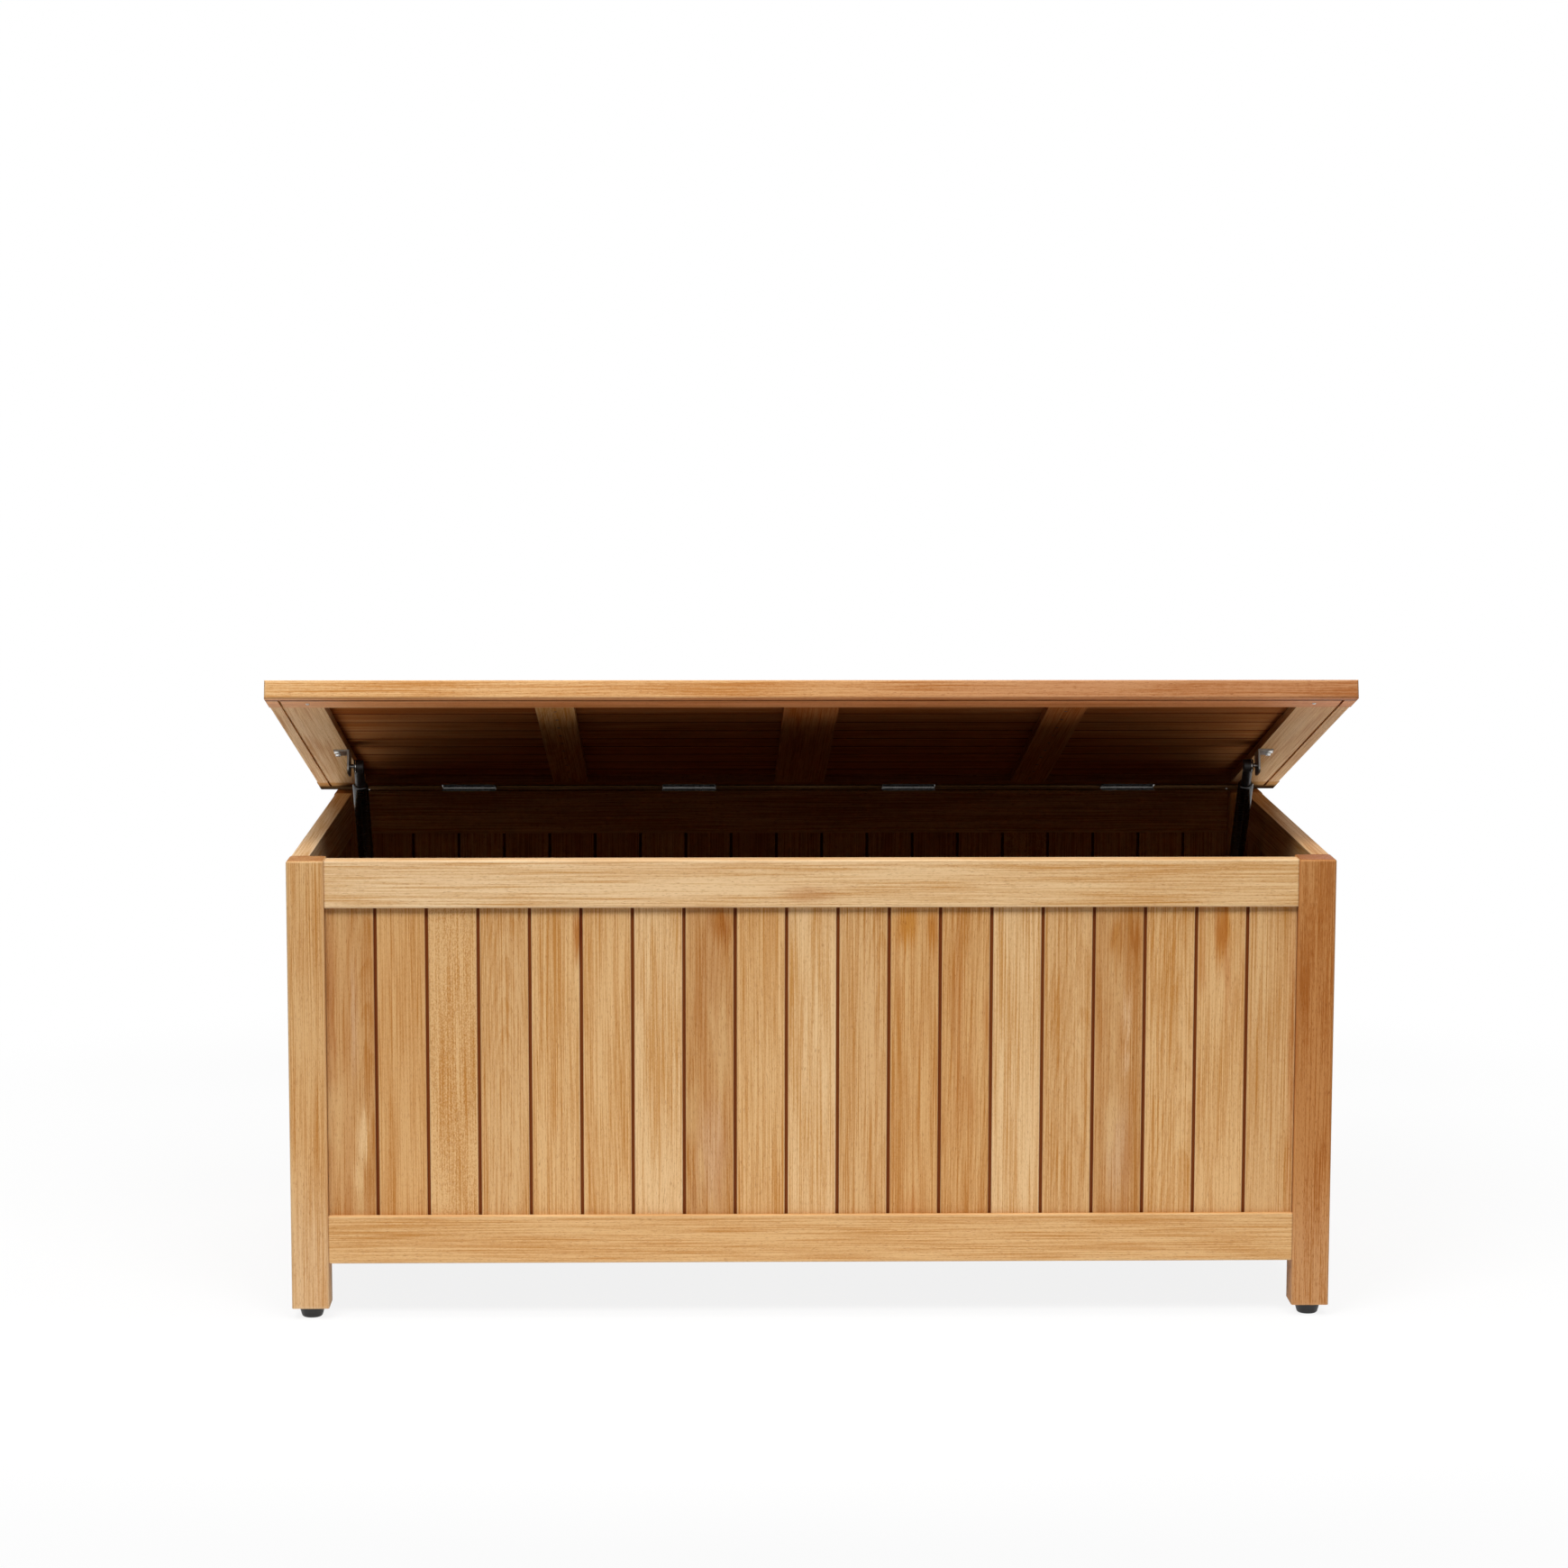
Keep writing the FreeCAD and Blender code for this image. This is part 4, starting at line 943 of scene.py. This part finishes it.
@dataclass
class Carcass(Assembly):
    """The standing box: posts, rails, boards, floor and feet."""

    wall_pitch: float = 1304.0 / 19
    side_pitch: float = 646.0 / 9
    slats: int = 14
    slat_pitch: float = 1348.0 / 14
    gap: float = 4.0
    rail_end: float = 650.0
    first_stick: int = 3
    front_picks: tuple[tuple[Tone, Figure], ...] = (
        (Tone.BROWN, Figure.STREAKED), (Tone.AMBER, Figure.PLAIN), (Tone.HONEY, Figure.RIPPLED),
        (Tone.TAN, Figure.PLAIN), (Tone.HONEY, Figure.PLAIN), (Tone.HONEY, Figure.PLAIN),
        (Tone.BLOND, Figure.PLAIN), (Tone.BROWN, Figure.STREAKED), (Tone.HONEY, Figure.PLAIN),
        (Tone.BLOND, Figure.PLAIN), (Tone.TAN, Figure.PLAIN), (Tone.AMBER, Figure.STAINED),
        (Tone.AMBER, Figure.STAINED), (Tone.BLOND, Figure.PLAIN), (Tone.TAN, Figure.PLAIN),
        (Tone.BROWN, Figure.STREAKED), (Tone.HONEY, Figure.PLAIN), (Tone.HONEY, Figure.STAINED),
        (Tone.TAN, Figure.PLAIN),
    )
    front_marks: tuple[Mark, ...] = (
        Mark(-601.0, 249.0, 11.0, 42.0, (0.690, 0.450, 0.210)),
        Mark(-611.0, 192.0, 9.0, 28.0, (0.660, 0.410, 0.180), 0.6),
        Mark(-645.0, 400.0, 8.0, 170.0, (0.400, 0.165, 0.046), 0.7),
        Mark(-612.5, 411.0, 6.0, 90.0, (0.500, 0.275, 0.125), 0.7),
        Mark(-313.0, 524.0, 7.0, 46.0, (0.370, 0.122, 0.017), 0.9),
        Mark(-122.0, 538.0, 21.0, 34.0, (0.350, 0.118, 0.016), 0.95),
        Mark(-140.0, 470.0, 18.0, 90.0, (0.480, 0.240, 0.085), 0.6),
        Mark(-135.0, 230.0, 24.0, 80.0, (0.540, 0.310, 0.150), 0.6),
        Mark(-158.7, 160.0, 5.0, 36.0, (0.420, 0.195, 0.062)),
        Mark(126.0, 536.0, 19.0, 36.0, (0.470, 0.185, 0.026), 0.95),
        Mark(160.0, 532.0, 9.0, 36.0, (0.430, 0.160, 0.022), 0.95),
        Mark(133.0, 146.0, 21.0, 30.0, (0.530, 0.250, 0.076), 0.7),
        Mark(195.0, 400.0, 9.0, 150.0, (0.500, 0.225, 0.068), 0.6),
        Mark(406.0, 518.0, 13.0, 42.0, (0.410, 0.162, 0.030), 0.9),
        Mark(434.0, 516.0, 6.0, 30.0, (0.410, 0.165, 0.032), 0.9),
        Mark(423.0, 412.0, 7.0, 34.0, (0.660, 0.420, 0.210)),
        Mark(423.0, 346.0, 7.0, 24.0, (0.640, 0.400, 0.200), 0.7),
        Mark(412.0, 232.0, 22.0, 80.0, (0.530, 0.310, 0.150), 0.6),
        Mark(552.0, 530.0, 15.0, 54.0, (0.470, 0.185, 0.028), 0.9),
        Mark(557.0, 450.0, 5.0, 60.0, (0.520, 0.235, 0.072), 0.6),
        Mark(644.5, 345.0, 4.0, 220.0, (0.470, 0.205, 0.060), 0.7),
    )

    def sticks(self) -> list[Stick]:
        """The stick of each wooden piece."""
        picks = self.front_picks
        front = Boards(self.wall_pitch, self.gap, picks)
        rear = Boards(self.wall_pitch, self.gap, picks[7:] + picks[:7])
        left = Boards(self.side_pitch, self.gap, picks[4:13])
        right = Boards(self.side_pitch, self.gap, picks[10:])
        slats = Boards(self.slat_pitch, self.gap, ((Tone.INTERIOR_SHADE, Figure.PLAIN),) * self.slats)
        # Painted light: the feet of the front posts are paled as if lit by light bounced up from the floor.
        painted_bounce_pale = Mark(-675.0, 20.0, 90.0, 190.0, (0.630, 0.420, 0.220), 0.5)
        painted_bounce_brown = Mark(675.0, 20.0, 90.0, 170.0, (0.475, 0.228, 0.082), 0.8)
        rail_flame = Mark(579.0, -4.0, 13.0, 44.0, (0.540, 0.290, 0.116), 0.8)
        # Painted shadow: a thin dark line where each front rail meets a post.
        joints = tuple(
            Mark(350.0, sign * self.rail_end, LONG, 1.5, (0.290, 0.125, 0.045), 0.65, straight=True)
            for sign in SIDES.values()
        )
        pale_post = {"far_tone": Tone.TAN, "marks": (painted_bounce_pale,)}
        dark_post = {"ring_pitch": 3.2, "contrast": 1.5, "marks": (painted_bounce_brown,)}
        straight, leaning, matt = {"run_out": 0.05}, {"run_out": 0.08}, {"sheen": 0.0}
        top_rail = {**straight, "far_tone": Tone.BLOND, "marks": (rail_flame, *joints)}
        return [
            ("front_boards", Tone.HONEY, Grain.UPRIGHT_FRONT, {"boards": front, "marks": self.front_marks}),
            ("rear_boards", Tone.HONEY, Grain.UPRIGHT_FRONT, {"boards": rear, **matt}),
            ("left_boards", Tone.HONEY, Grain.UPRIGHT_SIDE, {"boards": left}),
            ("right_boards", Tone.HONEY, Grain.UPRIGHT_SIDE, {"boards": right}),
            ("floor_slats", Tone.INTERIOR_SHADE, Grain.FLAT_DEEP, {"boards": slats, **matt}),
            ("floor_cleats", Tone.INTERIOR_SHADE, Grain.FLAT_LONG, {}),
            ("post_front_left", Tone.AMBER, Grain.UPRIGHT_FRONT, pale_post),
            ("post_front_right", Tone.RUSSET, Grain.UPRIGHT_FRONT, dark_post),
            ("post_rear_left", Tone.AMBER, Grain.UPRIGHT_FRONT, {}),
            ("post_rear_right", Tone.HONEY, Grain.UPRIGHT_FRONT, {}),
            ("front_top_rail", Tone.CREAM, Grain.RAIL_FRONT, top_rail),
            ("front_bottom_rail", Tone.HONEY, Grain.RAIL_FRONT, {**straight, "marks": joints}),
            ("rear_top_rail", Tone.BLOND, Grain.RAIL_FRONT, {**straight, **matt}),
            ("rear_bottom_rail", Tone.AMBER, Grain.RAIL_FRONT, straight),
            ("left_top_rail", Tone.CREAM, Grain.RAIL_SIDE, leaning),
            ("left_bottom_rail", Tone.TAN, Grain.RAIL_SIDE, leaning),
            ("right_top_rail", Tone.HONEY, Grain.RAIL_SIDE, leaning),
            ("right_bottom_rail", Tone.BLOND, Grain.RAIL_SIDE, leaning),
        ]

    def dress(self, plastic: Finish) -> None:
        """Gives every piece of the box its finish.

        Args:
            plastic: The feet's material.
        """
        self.cut(self.sticks(), self.first_stick, Pose())
        for end in ("front", "rear"):
            for side in SIDES:
                self.paint(f"foot_{end}_{side}", plastic)


@dataclass
class Lid(Assembly):
    """The lid: its frame, boards and battens, and two soft bumpers above the front posts."""

    pose: Pose
    board_pitch: float = 69.1
    # Width of the painted joint shade on the lid boards, wider than the real gap between them.
    joint_shade_width: float = 5.0
    underside: float = 1.1
    bumper_place: tuple[float, float] = (672.0, -731.0)
    bumper_radius: float = 2.8
    bumper_height: float = 1.7
    board_under: float = 13.1
    first_stick: int = 41

    def sticks(self) -> list[Stick]:
        """The stick of each wooden piece."""
        picks = [Tone.TAN, Tone.AMBER, Tone.HONEY, Tone.BROWN, Tone.AMBER]
        row = tuple((tone, Figure.PLAIN if tone is Tone.HONEY else Figure.STAINED) for tone in picks * 2)
        boards = Boards(self.board_pitch, self.joint_shade_width, row)
        below = {"level": self.board_under, "half_depth": 4.0}
        red_face = Mark(-735.0, 80.0, 70.0, 1300.0, (0.690, 0.262, 0.090), 0.9, half_depth=3.6)
        # Painted shade on the underside of the lid boards, deeper near the front rail.
        underside_shade = Mark(-374.0, 0.0, LONG, ENDLESS, (0.430, 0.168, 0.049), 0.94, **below)
        front_underside_shade = Mark(-700.0, 0.0, 190.0, ENDLESS, (0.310, 0.096, 0.023), 0.85, **below)
        ruddy_end = Mark(-771.0, 520.0, 60.0, 520.0, (0.370, 0.156, 0.059), 0.7)
        # Painted shade along the drip groove under the front rail.
        drip_groove_shade = Mark(-754.0, 0.0, 5.0, LONG, (0.090, 0.028, 0.008), 0.9, half_depth=8.0, straight=True)
        # Painted shadow on the underside of the rear rail, in the gap over the hinges.
        hinge_gap_shadow = Mark(11.0, 0.0, 34.0, LONG, (0.020, 0.009, 0.004), 0.98, half_depth=5.0, straight=True)
        edge_marks = (ruddy_end, red_face, drip_groove_shade)
        straight, matt = {"run_out": 0.04}, {"sheen": 0.0}
        front = {**straight, "far_tone": Tone.RUSSET, "contrast": 1.4, "marks": edge_marks}
        cross = {"far_tone": Tone.BROWN, **matt}
        filling = {"boards": boards, "marks": (underside_shade, front_underside_shade), **matt}
        return [
            ("lid_front_rail", Tone.TAN, Grain.FLAT_LONG, front),
            ("lid_rear_rail", Tone.BROWN, Grain.FLAT_LONG, {**straight, **matt, "marks": (hinge_gap_shadow,)}),
            ("lid_left_stile", Tone.TAN, Grain.FLAT_DEEP, {"far_tone": Tone.BLOND}),
            ("lid_right_stile", Tone.AMBER, Grain.FLAT_DEEP, {"far_tone": Tone.HONEY}),
            ("lid_centre_muntin", Tone.CHESTNUT, Grain.FLAT_DEEP, cross),
            ("lid_left_batten", Tone.BROWN, Grain.FLAT_DEEP, matt),
            ("lid_right_batten", Tone.CHESTNUT, Grain.FLAT_DEEP, cross),
            ("lid_boards", Tone.BROWN, Grain.FLAT_LONG, filling),
        ]

    def dress(self) -> None:
        """Gives every wooden piece of the lid its finish."""
        self.cut(self.sticks(), self.first_stick, self.pose)

    def build_bumpers(self, finish: Finish) -> None:
        """Makes the bumpers under the lid's front corners.

        Args:
            finish: The bumpers' material.
        """
        radius = self.bumper_radius * MILLIMETRE
        height = self.bumper_height * MILLIMETRE
        quarter = np.linspace(0, math.pi / 2, 7)
        outline = [(radius * math.cos(turn), -height * math.sin(turn)) for turn in quarter]
        for side, sign in SIDES.items():
            place = (self.bumper_place[0] * sign, self.bumper_place[1], self.underside)
            matrix = self.pose.matrix() @ Matrix.Translation(Vector(place) * MILLIMETRE)
            mesh = Shop.turned([(0.0, 0.0), *outline], closed=False, steps=28, place=matrix)
            Shop.piece(mesh, f"lid_bumper_{side}", finish, "lid")


@dataclass
class Fittings(Assembly):
    """The zinc hardware: hinges, brackets, plates and their screws."""

    lid_pose: Pose
    hinges: int = 4

    def dress(self, zinc: Finish, shaded_hinge_zinc: Finish) -> None:
        """Gives the sheet-metal pieces their finish.

        Args:
            zinc: The material of the brackets and plates.
            shaded_hinge_zinc: The material of the hinges.
        """
        for kind in ("bracket", "plate"):
            for side in SIDES:
                self.paint(f"strut_{kind}_{side}", zinc)
        for body in ("box", "lid"):
            for number in range(1, self.hinges + 1):
                self.paint(f"{body}_hinge_leaf_{number}", shaded_hinge_zinc)
        self.paint("hinge_pins", shaded_hinge_zinc)

    def build_screws(self, bright: Finish, dark: Finish) -> None:
        """Makes the sets of screws; the battens have one for each lid board.

        Args:
            bright: The material of the hardware's screws.
            dark: The material of the battens' screws.
        """
        up = self.lid_pose.matrix().to_3x3() @ Vector((0.0, 0.0, 1.0))
        down = Vector((0.0, 0.0, -1.0))
        pan = {"head": 0.004, "crown": 0.0025, "shank": 0.002, "sunk": 0.0}
        flat = {"head": 0.0035, "crown": 0.0, "shank": 0.002, "sunk": 0.0018}
        small = {"head": 0.0022, "crown": 0.0, "shank": 0.0013, "sunk": 0.0012, "recess": 0.0008}
        batten = {**small, "slot": "black_paint", "reach": (0.2, 0.5), "flush": 0.0023, "infill": 8}
        for finish, screws in (
            (bright, ("bracket_screws", "lid_screws", "lid", up, {**pan, "reach": (0.5, 1.0)})),
            (dark, ("batten_screws", "lid_screws", "lid", up, batten)),
            (bright, ("plate_cross_screws", "plate_screws", "box", Vector(), pan)),
            (bright, ("box_leaf_screws", "box_hinge_screws", "box", down, flat)),
            (bright, ("lid_leaf_screws", "lid_hinge_screws", "lid", up, flat)),
        ):
            *named, sizes = screws
            Screws(self.frame, *named, **sizes).build(finish)


@dataclass
class Strut(Assembly):
    """One gas strut: a painted tube with a rolled end, a wiper, a bright rod and two clipped sockets.

    Sizes are in metres. A bevel is how far in and how far along it goes, and the groove's steps are
    counted from its place above the tube's mouth.
    """

    side: str
    top: Vector
    foot: Vector
    tube_radius: float = 0.011
    wall: float = 0.0015
    chamfer: float = 0.003
    groove: float = 0.0007
    groove_place: float = 0.012
    groove_steps: tuple[float, ...] = (0.003, 0.0018, 0.0008, -0.0004)
    top_bevel: tuple[float, float] = (0.0012, 0.0009)
    mouth_bevel: tuple[float, float] = (0.0008, 0.0012)
    rod_radius: float = 0.005
    wiper_play: float = 0.0003
    wiper_lip: float = 0.0012
    wiper_wall: float = 0.001
    wiper_heights: tuple[float, float] = (0.0022, 0.0008)
    socket_radius: float = 0.009
    clip_radius: float = 0.0006
    clip_sunk: float = 0.4
    clip_place: float = 0.0042
    clip_start: float = 0.6
    clip_sweep: float = 4.9

    def _axis(self) -> Matrix:
        """From the strut's own axes, +Z up along the tube to the upper ball, to the frame."""
        lean = (self.top - self.foot).to_track_quat("Z", "X")
        return Matrix.Translation(self.top) @ lean.to_matrix().to_4x4()

    def _reach(self) -> tuple[float, float]:
        """Where the tube starts and ends below the upper ball, in metres."""
        piece = self.frame["nodes"][f"strut_tube_{self.side}"]
        down = (self.foot - self.top).normalized()
        places = [(vertex.co - self.top).dot(down) for vertex in piece.data.vertices]
        return min(places), max(places)

    def build_tube(self, enamel: Finish, seal: Finish) -> None:
        """Makes the tube with its rolled groove, and the wiper at its mouth.

        Args:
            enamel: The tube's material.
            seal: The wiper's material.
        """
        start, end = self._reach()
        outer, bore = self.tube_radius, self.tube_radius - self.wall
        neck = outer - self.groove
        top, shoulder, mouth = -start, -start - self.chamfer, -end
        roll = [mouth + self.groove_place + step for step in self.groove_steps]
        bevel_in, bevel_down = self.top_bevel
        edge_in, edge_up = self.mouth_bevel
        outline = [
            (0.0, top), (outer - self.chamfer, top), (outer - bevel_in, top - bevel_down), (outer, shoulder),
            *zip((outer, neck, neck, outer), roll),
            (outer, mouth + edge_up), (outer - edge_in, mouth),
            (bore, mouth), (bore, shoulder), (0.0, shoulder),
        ]
        mesh = Shop.turned(outline, closed=False, steps=48, place=self._axis())
        tube = Shop.piece(mesh, f"strut_rolled_tube_{self.side}", enamel, f"{self.side}_cylinder")
        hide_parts(f"strut_tube_{self.side}")
        inner, rim = self.rod_radius + self.wiper_play, bore - self.wiper_wall
        tip, step = (mouth - height for height in self.wiper_heights)
        profile = [(inner, tip), (inner + self.wiper_lip, tip), (rim, step), (rim, mouth), (inner, mouth)]
        mesh = Shop.turned(profile, closed=True, steps=40, place=self._axis())
        wiper = Shop.piece(mesh, f"strut_wiper_{self.side}", seal, f"{self.side}_cylinder")

    def build_clips(self, zinc: Finish) -> None:
        """Makes the wire clip round each ball socket.

        Args:
            zinc: The clips' material.
        """
        sign = SIDES[self.side]
        for end, ball, body in (("upper", self.top, "cylinder"), ("lower", self.foot, "rod")):
            mesh = bmesh.new()
            section = bmesh.ops.create_circle(mesh, segments=10, radius=self.clip_radius, cap_ends=True)
            wire = section["verts"]
            centre = self.socket_radius + self.clip_radius * self.clip_sunk
            start = Matrix.Rotation(self.clip_start, 3, "Y")
            bmesh.ops.translate(mesh, vec=(centre, 0.0, 0.0), verts=wire)
            bmesh.ops.rotate(mesh, cent=(0, 0, 0), matrix=start, verts=wire)
            bmesh.ops.spin(
                mesh, geom=mesh.faces[:], axis=(0, 1, 0), cent=(0, 0, 0), angle=self.clip_sweep, steps=44
            )
            turn = Matrix.Rotation(math.pi / 2, 4, "Z")
            shift = Matrix.Translation(ball + Vector((self.clip_place * sign, 0.0, 0.0)))
            mesh.transform(shift @ turn)
            clip = Shop.piece(mesh, f"strut_{end}_clip_{self.side}", zinc, f"{self.side}_{body}")

    def dress(self, chrome: Finish, plastic: Finish) -> None:
        """Gives the frame's own pieces of the strut their finish.

        Args:
            chrome: The rod's material.
            plastic: The sockets' material.
        """
        self.paint(f"strut_rod_{self.side}", chrome)
        for kind in ("piston", "gland", "upper_socket", "lower_socket"):
            self.paint(f"strut_{kind}_{self.side}", plastic)


@dataclass
class Studio:
    """The pale floor, the soft lamps and the camera."""

    floor_colour: RGB = (0.88, 0.88, 0.88)
    far_floor: RGB = (0.06, 0.06, 0.06)
    floor_glow: float = 0.87
    fade: tuple[float, float] = (0.95, 1.6)
    floor_size: float = 30.0
    reach: RGB = (0.3, 1.0, 1.0)
    shadow_reach: tuple[float, float] = (0.5, 2.2)
    ambient: float = 0.015
    camera_place: Vector = field(default_factory=lambda: Vector((-0.14893, -5.51743, 1.38789)))
    pan: float = 0.02154
    tilt: float = 0.12798
    roll: float = -0.00166
    lens: float = 89.51

    def build_floor(self) -> None:
        """Makes the floor, which keeps a faint shadow near the box and is plain white far from it."""
        mesh = bmesh.new()
        bmesh.ops.create_grid(mesh, x_segments=1, y_segments=1, size=self.floor_size)
        data = bpy.data.meshes.new("floor")
        mesh.to_mesh(data)
        mesh.free()
        material = bpy.data.materials.new("floor_paper")
        material.use_nodes = True
        paper = Workings(material.node_tree)
        far = paper.point().stretched(self.reach).length().span(*self.fade)
        colour = paper.mix(self.floor_colour, self.far_floor, far)
        away = paper.point().length().span(*self.shadow_reach)
        share = (self.floor_glow + away * (1.0 - self.floor_glow)) * paper.backdrop_rays()
        lit = paper.node("ShaderNodeBsdfDiffuse", {}, {"Color": colour})
        white = paper.node("ShaderNodeEmission", {}, {"Strength": 1.0})
        both = paper.node("ShaderNodeMixShader", {}, {0: share, 1: lit, 2: white})
        paper.feed(material.node_tree.nodes["Material Output"].inputs["Surface"], both)
        data.materials.append(material)
        floor = bpy.data.objects.new("floor", data)
        bpy.context.scene.collection.objects.link(floor)

    def build_world(self) -> None:
        """Sets a white background with a dimmer, even light from it."""
        world = bpy.data.worlds.new("studio")
        bpy.context.scene.world = world
        world.use_nodes = True
        sky = Workings(world.node_tree)
        pure = (1.0, 1.0, 1.0, 1.0)
        light = sky.node("ShaderNodeBackground", {}, {"Color": pure, "Strength": self.ambient})
        white = sky.node("ShaderNodeBackground", {}, {"Color": pure, "Strength": 1.0})
        both = sky.node("ShaderNodeMixShader", {}, {0: sky.backdrop_rays(), 1: light, 2: white})
        sky.feed(world.node_tree.nodes["World Output"].inputs["Surface"], both)

    @staticmethod
    def _lamp(name: str, place: RGB, aim: RGB, size: tuple[float, float], power: float) -> None:
        """Hangs one soft lamp.

        Args:
            name: The lamp's name.
            place: Where it hangs.
            aim: The point that it faces.
            size: Its width and height.
            power: Its power in watts.
        """
        lamp = bpy.data.lights.new(name, "AREA")
        lamp.shape = "RECTANGLE"
        lamp.size, lamp.size_y = size
        lamp.energy = power
        hung = bpy.data.objects.new(name, lamp)
        hung.visible_camera = False
        hung.location = place
        hung.rotation_euler = (Vector(aim) - Vector(place)).to_track_quat("-Z", "Y").to_euler()
        bpy.context.scene.collection.objects.link(hung)

    def build_lamps(self) -> None:
        """Hangs two large lamps high in front, one overhead, one behind and two low ones at the sides."""
        self._lamp("front_lamp", (-1.5, -2.7, 3.9), (0.0, -0.5, 0.2), (2.0, 1.4), 129.0)
        self._lamp("fill_lamp", (1.1, -2.9, 3.7), (0.2, -0.5, 0.2), (1.8, 1.4), 85.0)
        self._lamp("top_lamp", (0.0, -0.8, 3.8), (0.0, -0.4, 0.0), (4.4, 1.4), 65.0)
        self._lamp("rear_lamp", (0.6, 3.8, 2.8), (0.0, 0.3, 0.3), (3.4, 1.6), 60.0)
        for side, sign in SIDES.items():
            place = (1.3 * sign, 0.35, 0.01)
            self._lamp(f"{side}_floor_panel", place, (place[0], place[1], 1.0), (0.9, 1.3), 3.4)

    def build_camera(self) -> None:
        """Sets the camera where the photograph was taken from."""
        panned = Matrix.Rotation(-self.pan, 4, "Z")
        tilted = Matrix.Rotation(math.pi / 2 - self.tilt, 4, "X")
        rolled = Matrix.Rotation(-self.roll, 4, "Z")
        camera = bpy.data.cameras.new("photo_camera")
        camera.lens = self.lens
        camera.sensor_width = 36.0
        camera.clip_end = 200.0
        placed = bpy.data.objects.new("photo_camera", camera)
        placed.matrix_world = Matrix.Translation(self.camera_place) @ panned @ tilted @ rolled
        bpy.context.scene.collection.objects.link(placed)
        bpy.context.scene.camera = placed

    def build(self) -> None:
        """Builds the whole studio."""
        bpy.context.scene.view_settings.view_transform = "Standard"
        self.build_camera()
        self.build_world()
        self.build_floor()
        self.build_lamps()


def main() -> None:
    """Builds the looks in order and reports each piece."""
    logging.basicConfig(level=logging.INFO, format="%(message)s")
    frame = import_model()
    joints = {joint["name"]: Vector(joint["pos_m"]) for joint in frame["joints"]}
    hinge = next(joint for joint in frame["joints"] if joint["name"] == "lid_hinge")
    lid_pose = Pose(joints["lid_hinge"], math.radians(-hinge["range_deg"][0]))
    Studio().build()
    # Zinc of the brackets and plates, darker than the screws' zinc: partly dull plating, partly painted
    # shade.
    zinc = Metal("zinc_plate", (0.33, 0.33, 0.32), (0.18, 0.18, 0.17), 0.30).material()
    # Painted shade: the hinges get a darker copy of the zinc, as if lying in shadow.
    shaded_hinge_zinc = Metal("shaded_hinge_zinc", (0.17, 0.166, 0.158), (0.10, 0.098, 0.092), 0.20).material()
    screw_zinc = Metal("zinc_screw", (0.74, 0.74, 0.72), (0.50, 0.50, 0.48), 0.22).material()
    dark_screw = Metal("dark_screw", (0.095, 0.060, 0.042), (0.045, 0.030, 0.022), 0.45).material()
    chrome = Metal("bright_rod", (0.80, 0.80, 0.81), (0.62, 0.62, 0.62), 0.08, (1.2, 0.2, 0.2)).material()
    enamel = Coating(
        "black_enamel", (0.010, 0.010, 0.011), (0.035, 0.033, 0.030),
        roughness=0.20, skin=0.8, scuffs=0.2, gloss=0.4,
    ).material()
    plastic = Coating(
        "black_plastic", (0.011, 0.010, 0.010), (0.032, 0.030, 0.028),
        roughness=0.46, skin=2.2, scuffs=0.3,
    ).material()
    Carcass(frame).dress(plastic)
    lid = Lid(frame, lid_pose)
    lid.dress()
    lid.build_bumpers(Rubber().material())
    fittings = Fittings(frame, lid_pose)
    fittings.dress(zinc, shaded_hinge_zinc)
    fittings.build_screws(screw_zinc, dark_screw)
    for side in SIDES:
        strut = Strut(frame, side, joints[f"{side}_cylinder_swing"], joints[f"{side}_rod_swing"])
        strut.dress(chrome, plastic)
        strut.build_tube(enamel, plastic)
        strut.build_clips(screw_zinc)


if __name__ == "__main__":
    main()
